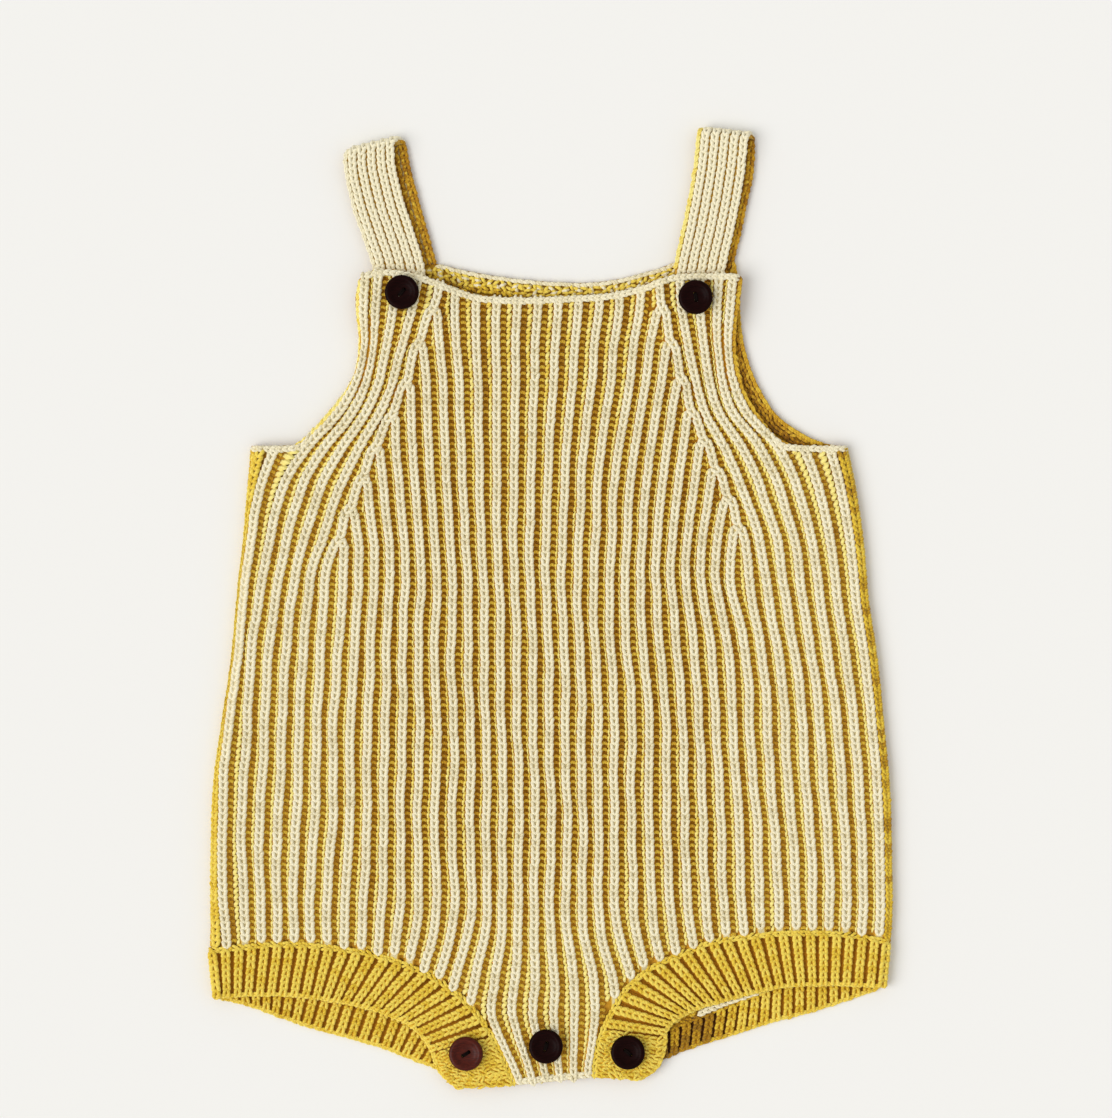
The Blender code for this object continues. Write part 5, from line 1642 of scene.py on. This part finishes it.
def turned_button():
    """The profile turned into a solid, with its two holes drilled."""
    data, rings = bmesh.new(), []
    for radius, height in BUTTON_PROFILE:
        turns = 2 * math.pi * np.arange(BUTTON_STEPS if radius else 1) / BUTTON_STEPS
        far, z = radius * BUTTON_RADIUS, height * BUTTON_HEIGHT
        rings.append([data.verts.new((far * math.cos(a), far * math.sin(a), z)) for a in turns])
    for near, far in zip(rings, rings[1:]):
        for i in range(BUTTON_STEPS):
            j = (i + 1) % BUTTON_STEPS
            corners = [near[i % len(near)], near[j % len(near)], far[j % len(far)], far[i % len(far)]]
            data.faces.new(list(dict.fromkeys(corners)))
    bmesh.ops.recalc_face_normals(data, faces=data.faces)
    mesh = bpy.data.meshes.new("button")
    data.to_mesh(mesh)
    data.free()
    undrilled = bpy.data.objects.new("undrilled_button", mesh)
    bpy.context.scene.collection.objects.link(undrilled)
    drills = []
    for way in (-1, 1):
        bpy.ops.mesh.primitive_cylinder_add(
            vertices=20, radius=HOLE_RADIUS, depth=4 * BUTTON_HEIGHT, location=(way * HOLE_OFFSET, 0, 0)
        )
        drills.append(bpy.context.active_object)
        cut = undrilled.modifiers.new("hole", "BOOLEAN")
        cut.operation, cut.object = "DIFFERENCE", drills[-1]
    bpy.context.view_layer.update()
    drilled = undrilled.evaluated_get(bpy.context.evaluated_depsgraph_get())
    made = bpy.data.meshes.new_from_object(drilled)
    for used in drills + [undrilled]:
        bpy.data.objects.remove(used)
    made.shade_smooth()
    made.set_sharp_from_angle(angle=math.radians(50))
    return made


button = turned_button()
print("button:", sum(len(face.vertices) - 2 for face in button.polygons), "triangles")

# %% Button materials
GRAIN = 2.2 * MM  # between the shell's dark flecks, which are five times as long as they are wide


def polished_shell(name, dark, light, shine, seed):
    """Coconut shell: a dark, flecked brown under a soft polish. The seed moves the flecks."""
    made, tree, shader = blank(name)
    place = add(tree, "TexCoord").outputs["Object"]
    stretched = add(
        tree, "Mapping", {"Vector": place, "Scale": (1.0, 5.0, 1.0), "Location": (seed, 0, 0)}
    )
    grain = add(tree, "TexNoise", {"Vector": stretched, "Scale": 1 / GRAIN, "Detail": 5.0, "Roughness": 0.65})
    colour = add(tree, "ValToRGB", {"Fac": grain}, stops=[(0.3, dark), (0.7, light)])
    relief = add(tree, "Bump", {"Height": grain, "Strength": 0.25, "Distance": 0.15 * MM})
    feed(tree, shader, {
        "Base Color": colour, "Normal": relief, "Roughness": 0.35, "IOR": 1.5,
        "Specular IOR Level": shine,
    })
    return made


dark_shell = polished_shell("polished_coconut_shell_dark", "#0C0302", "#200706", 0.04, 0.0)
brown_shell = polished_shell("polished_coconut_shell_brown", "#2C0A05", "#5A1C0C", 0.15, 3.0)
# Cotton thread is matt, so it shows as a small dull mark in the polished dish
thread, tree, shader = blank("brown_cotton_thread")
feed(tree, shader, {"Base Color": linear("#0E0604"), "Roughness": 0.9, "Specular IOR Level": 0.1})
print("button finishes:", [made.name for made in (dark_shell, brown_shell, thread)])

# %% Five buttons, each turned by its own angle in degrees
BUTTON_TURNS = {
    "button_strap_left": 50, "button_strap_right": 100, "button_crotch_left": 32,
    "button_crotch_centre": 75, "button_crotch_right": 140,
}
THREAD, STRAND_ASIDE = 0.42 * MM, 0.35 * MM  # radius of a strand, and how far it lies off the middle
THREAD_END, THREAD_RISE = 0.2 * MM, 0.45 * MM  # over the button's foot, and over its sunken middle
for node_name, degrees in BUTTON_TURNS.items():
    low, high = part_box(node_name)
    middle = np.array([(low.x + high.x) / 2, (low.y + high.y) / 2, low.z])
    c, s = math.cos(math.radians(degrees)), math.sin(math.radians(degrees))
    turned = np.array([[c, s, 0], [-s, c, 0], [0, 0, 1]])
    mesh = button.copy()
    mesh.name = f"{node_name}_turned"
    points = np.empty(3 * len(mesh.vertices))
    mesh.vertices.foreach_get("co", points)
    mesh.vertices.foreach_set("co", (points.reshape(-1, 3) @ turned + middle).ravel())
    mesh.materials.clear()
    shell = brown_shell if node_name == "button_crotch_left" else dark_shell
    made = piece(f"{node_name}_turned", mesh, [shell])
    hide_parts(node_name)

    top = DISH * BUTTON_HEIGHT
    half_line = [(1.1, THREAD_END), (1.0, top), (0.6, top + THREAD_RISE)]
    line = [(-far, z) for far, z in half_line] + half_line[::-1]
    points, faces = [], []
    for aside in (-STRAND_ASIDE, STRAND_ASIDE):
        local, strand, _ = tube([(far * HOLE_OFFSET, aside, z) for far, z in line], THREAD, 1.0, 8)
        faces += [[index + len(points) for index in face] for face in strand]
        points += (local @ turned + middle).tolist()
    strands = bpy.data.meshes.new(f"{node_name}_thread")
    strands.from_pydata(points, [], faces)
    strands.shade_smooth()
    piece(f"{node_name}_thread", strands, [thread])

# %% [markdown]
# ## Floor, light and camera
#
# A garment like this is shot from straight above on a pale board, with window light from the left, a
# little from below, and a bright room all round. A lamp nearby would leave one side of the board
# brighter than the other, so the window's light comes from far away.

# %% Floor
HALF = 3.0  # metres, so that no edge of the board comes into view
mesh = bpy.data.meshes.new("board")
corners = [(-HALF, -HALF, 0), (HALF, -HALF, 0), (HALF, HALF, 0), (-HALF, HALF, 0)]
mesh.from_pydata(corners, [], [(0, 1, 2, 3)])
board = bpy.data.objects.new("board", mesh)
board.location.z = -0.2 * MM
bpy.context.scene.collection.objects.link(board)
# Matt board gives no glare, and a soft shadow all round the cloth
paper, tree, shader = blank("pale_matt_board")
feed(tree, shader, {"Base Color": linear("#F1F0EC"), "Roughness": 0.9})
mesh.materials.append(paper)
print(f"board: {2 * HALF:.0f} m wide")

# %% Light that comes from one side and is even all over, as from a large window far away
SHINES = (2.6, 0.8, -3.0)  # to the right, a little up the picture, and down
window = bpy.data.lights.new("window_light", "SUN")
window.angle, window.energy = math.radians(45), 1.7  # so wide a source keeps the shadows soft
window.color = linear("#FFFEFD")[:3]
light = bpy.data.objects.new("window_light", window)
light.rotation_euler = Vector(SHINES).to_track_quat("-Z", "Y").to_euler()
bpy.context.scene.collection.objects.link(light)
room = bpy.data.worlds.new("bright_room")
room.use_nodes = True
feed(room.node_tree, room.node_tree.nodes["Background"], {"Color": linear("#FFFFFF"), "Strength": 0.625})
bpy.context.scene.world = room
bpy.context.scene.view_settings.view_transform = "Standard"

# %% Camera
VIEW, VIEW_X, VIEW_Y = 491.9 * MM, 2.7 * MM, at_height(232.8)  # height and middle of the picture
DISTANCE, SENSOR = 1.6, 36.0  # in metres, and in millimetres for the picture's longer side, its height
overhead = bpy.data.cameras.new("overhead")
overhead.sensor_width = SENSOR
overhead.lens = SENSOR * DISTANCE / VIEW
camera = bpy.data.objects.new("overhead", overhead)
camera.location = (VIEW_X, VIEW_Y, DISTANCE)
bpy.context.scene.collection.objects.link(camera)
bpy.context.scene.camera = camera
print(f"camera: {overhead.lens:.0f} mm lens, {DISTANCE} m above the board")
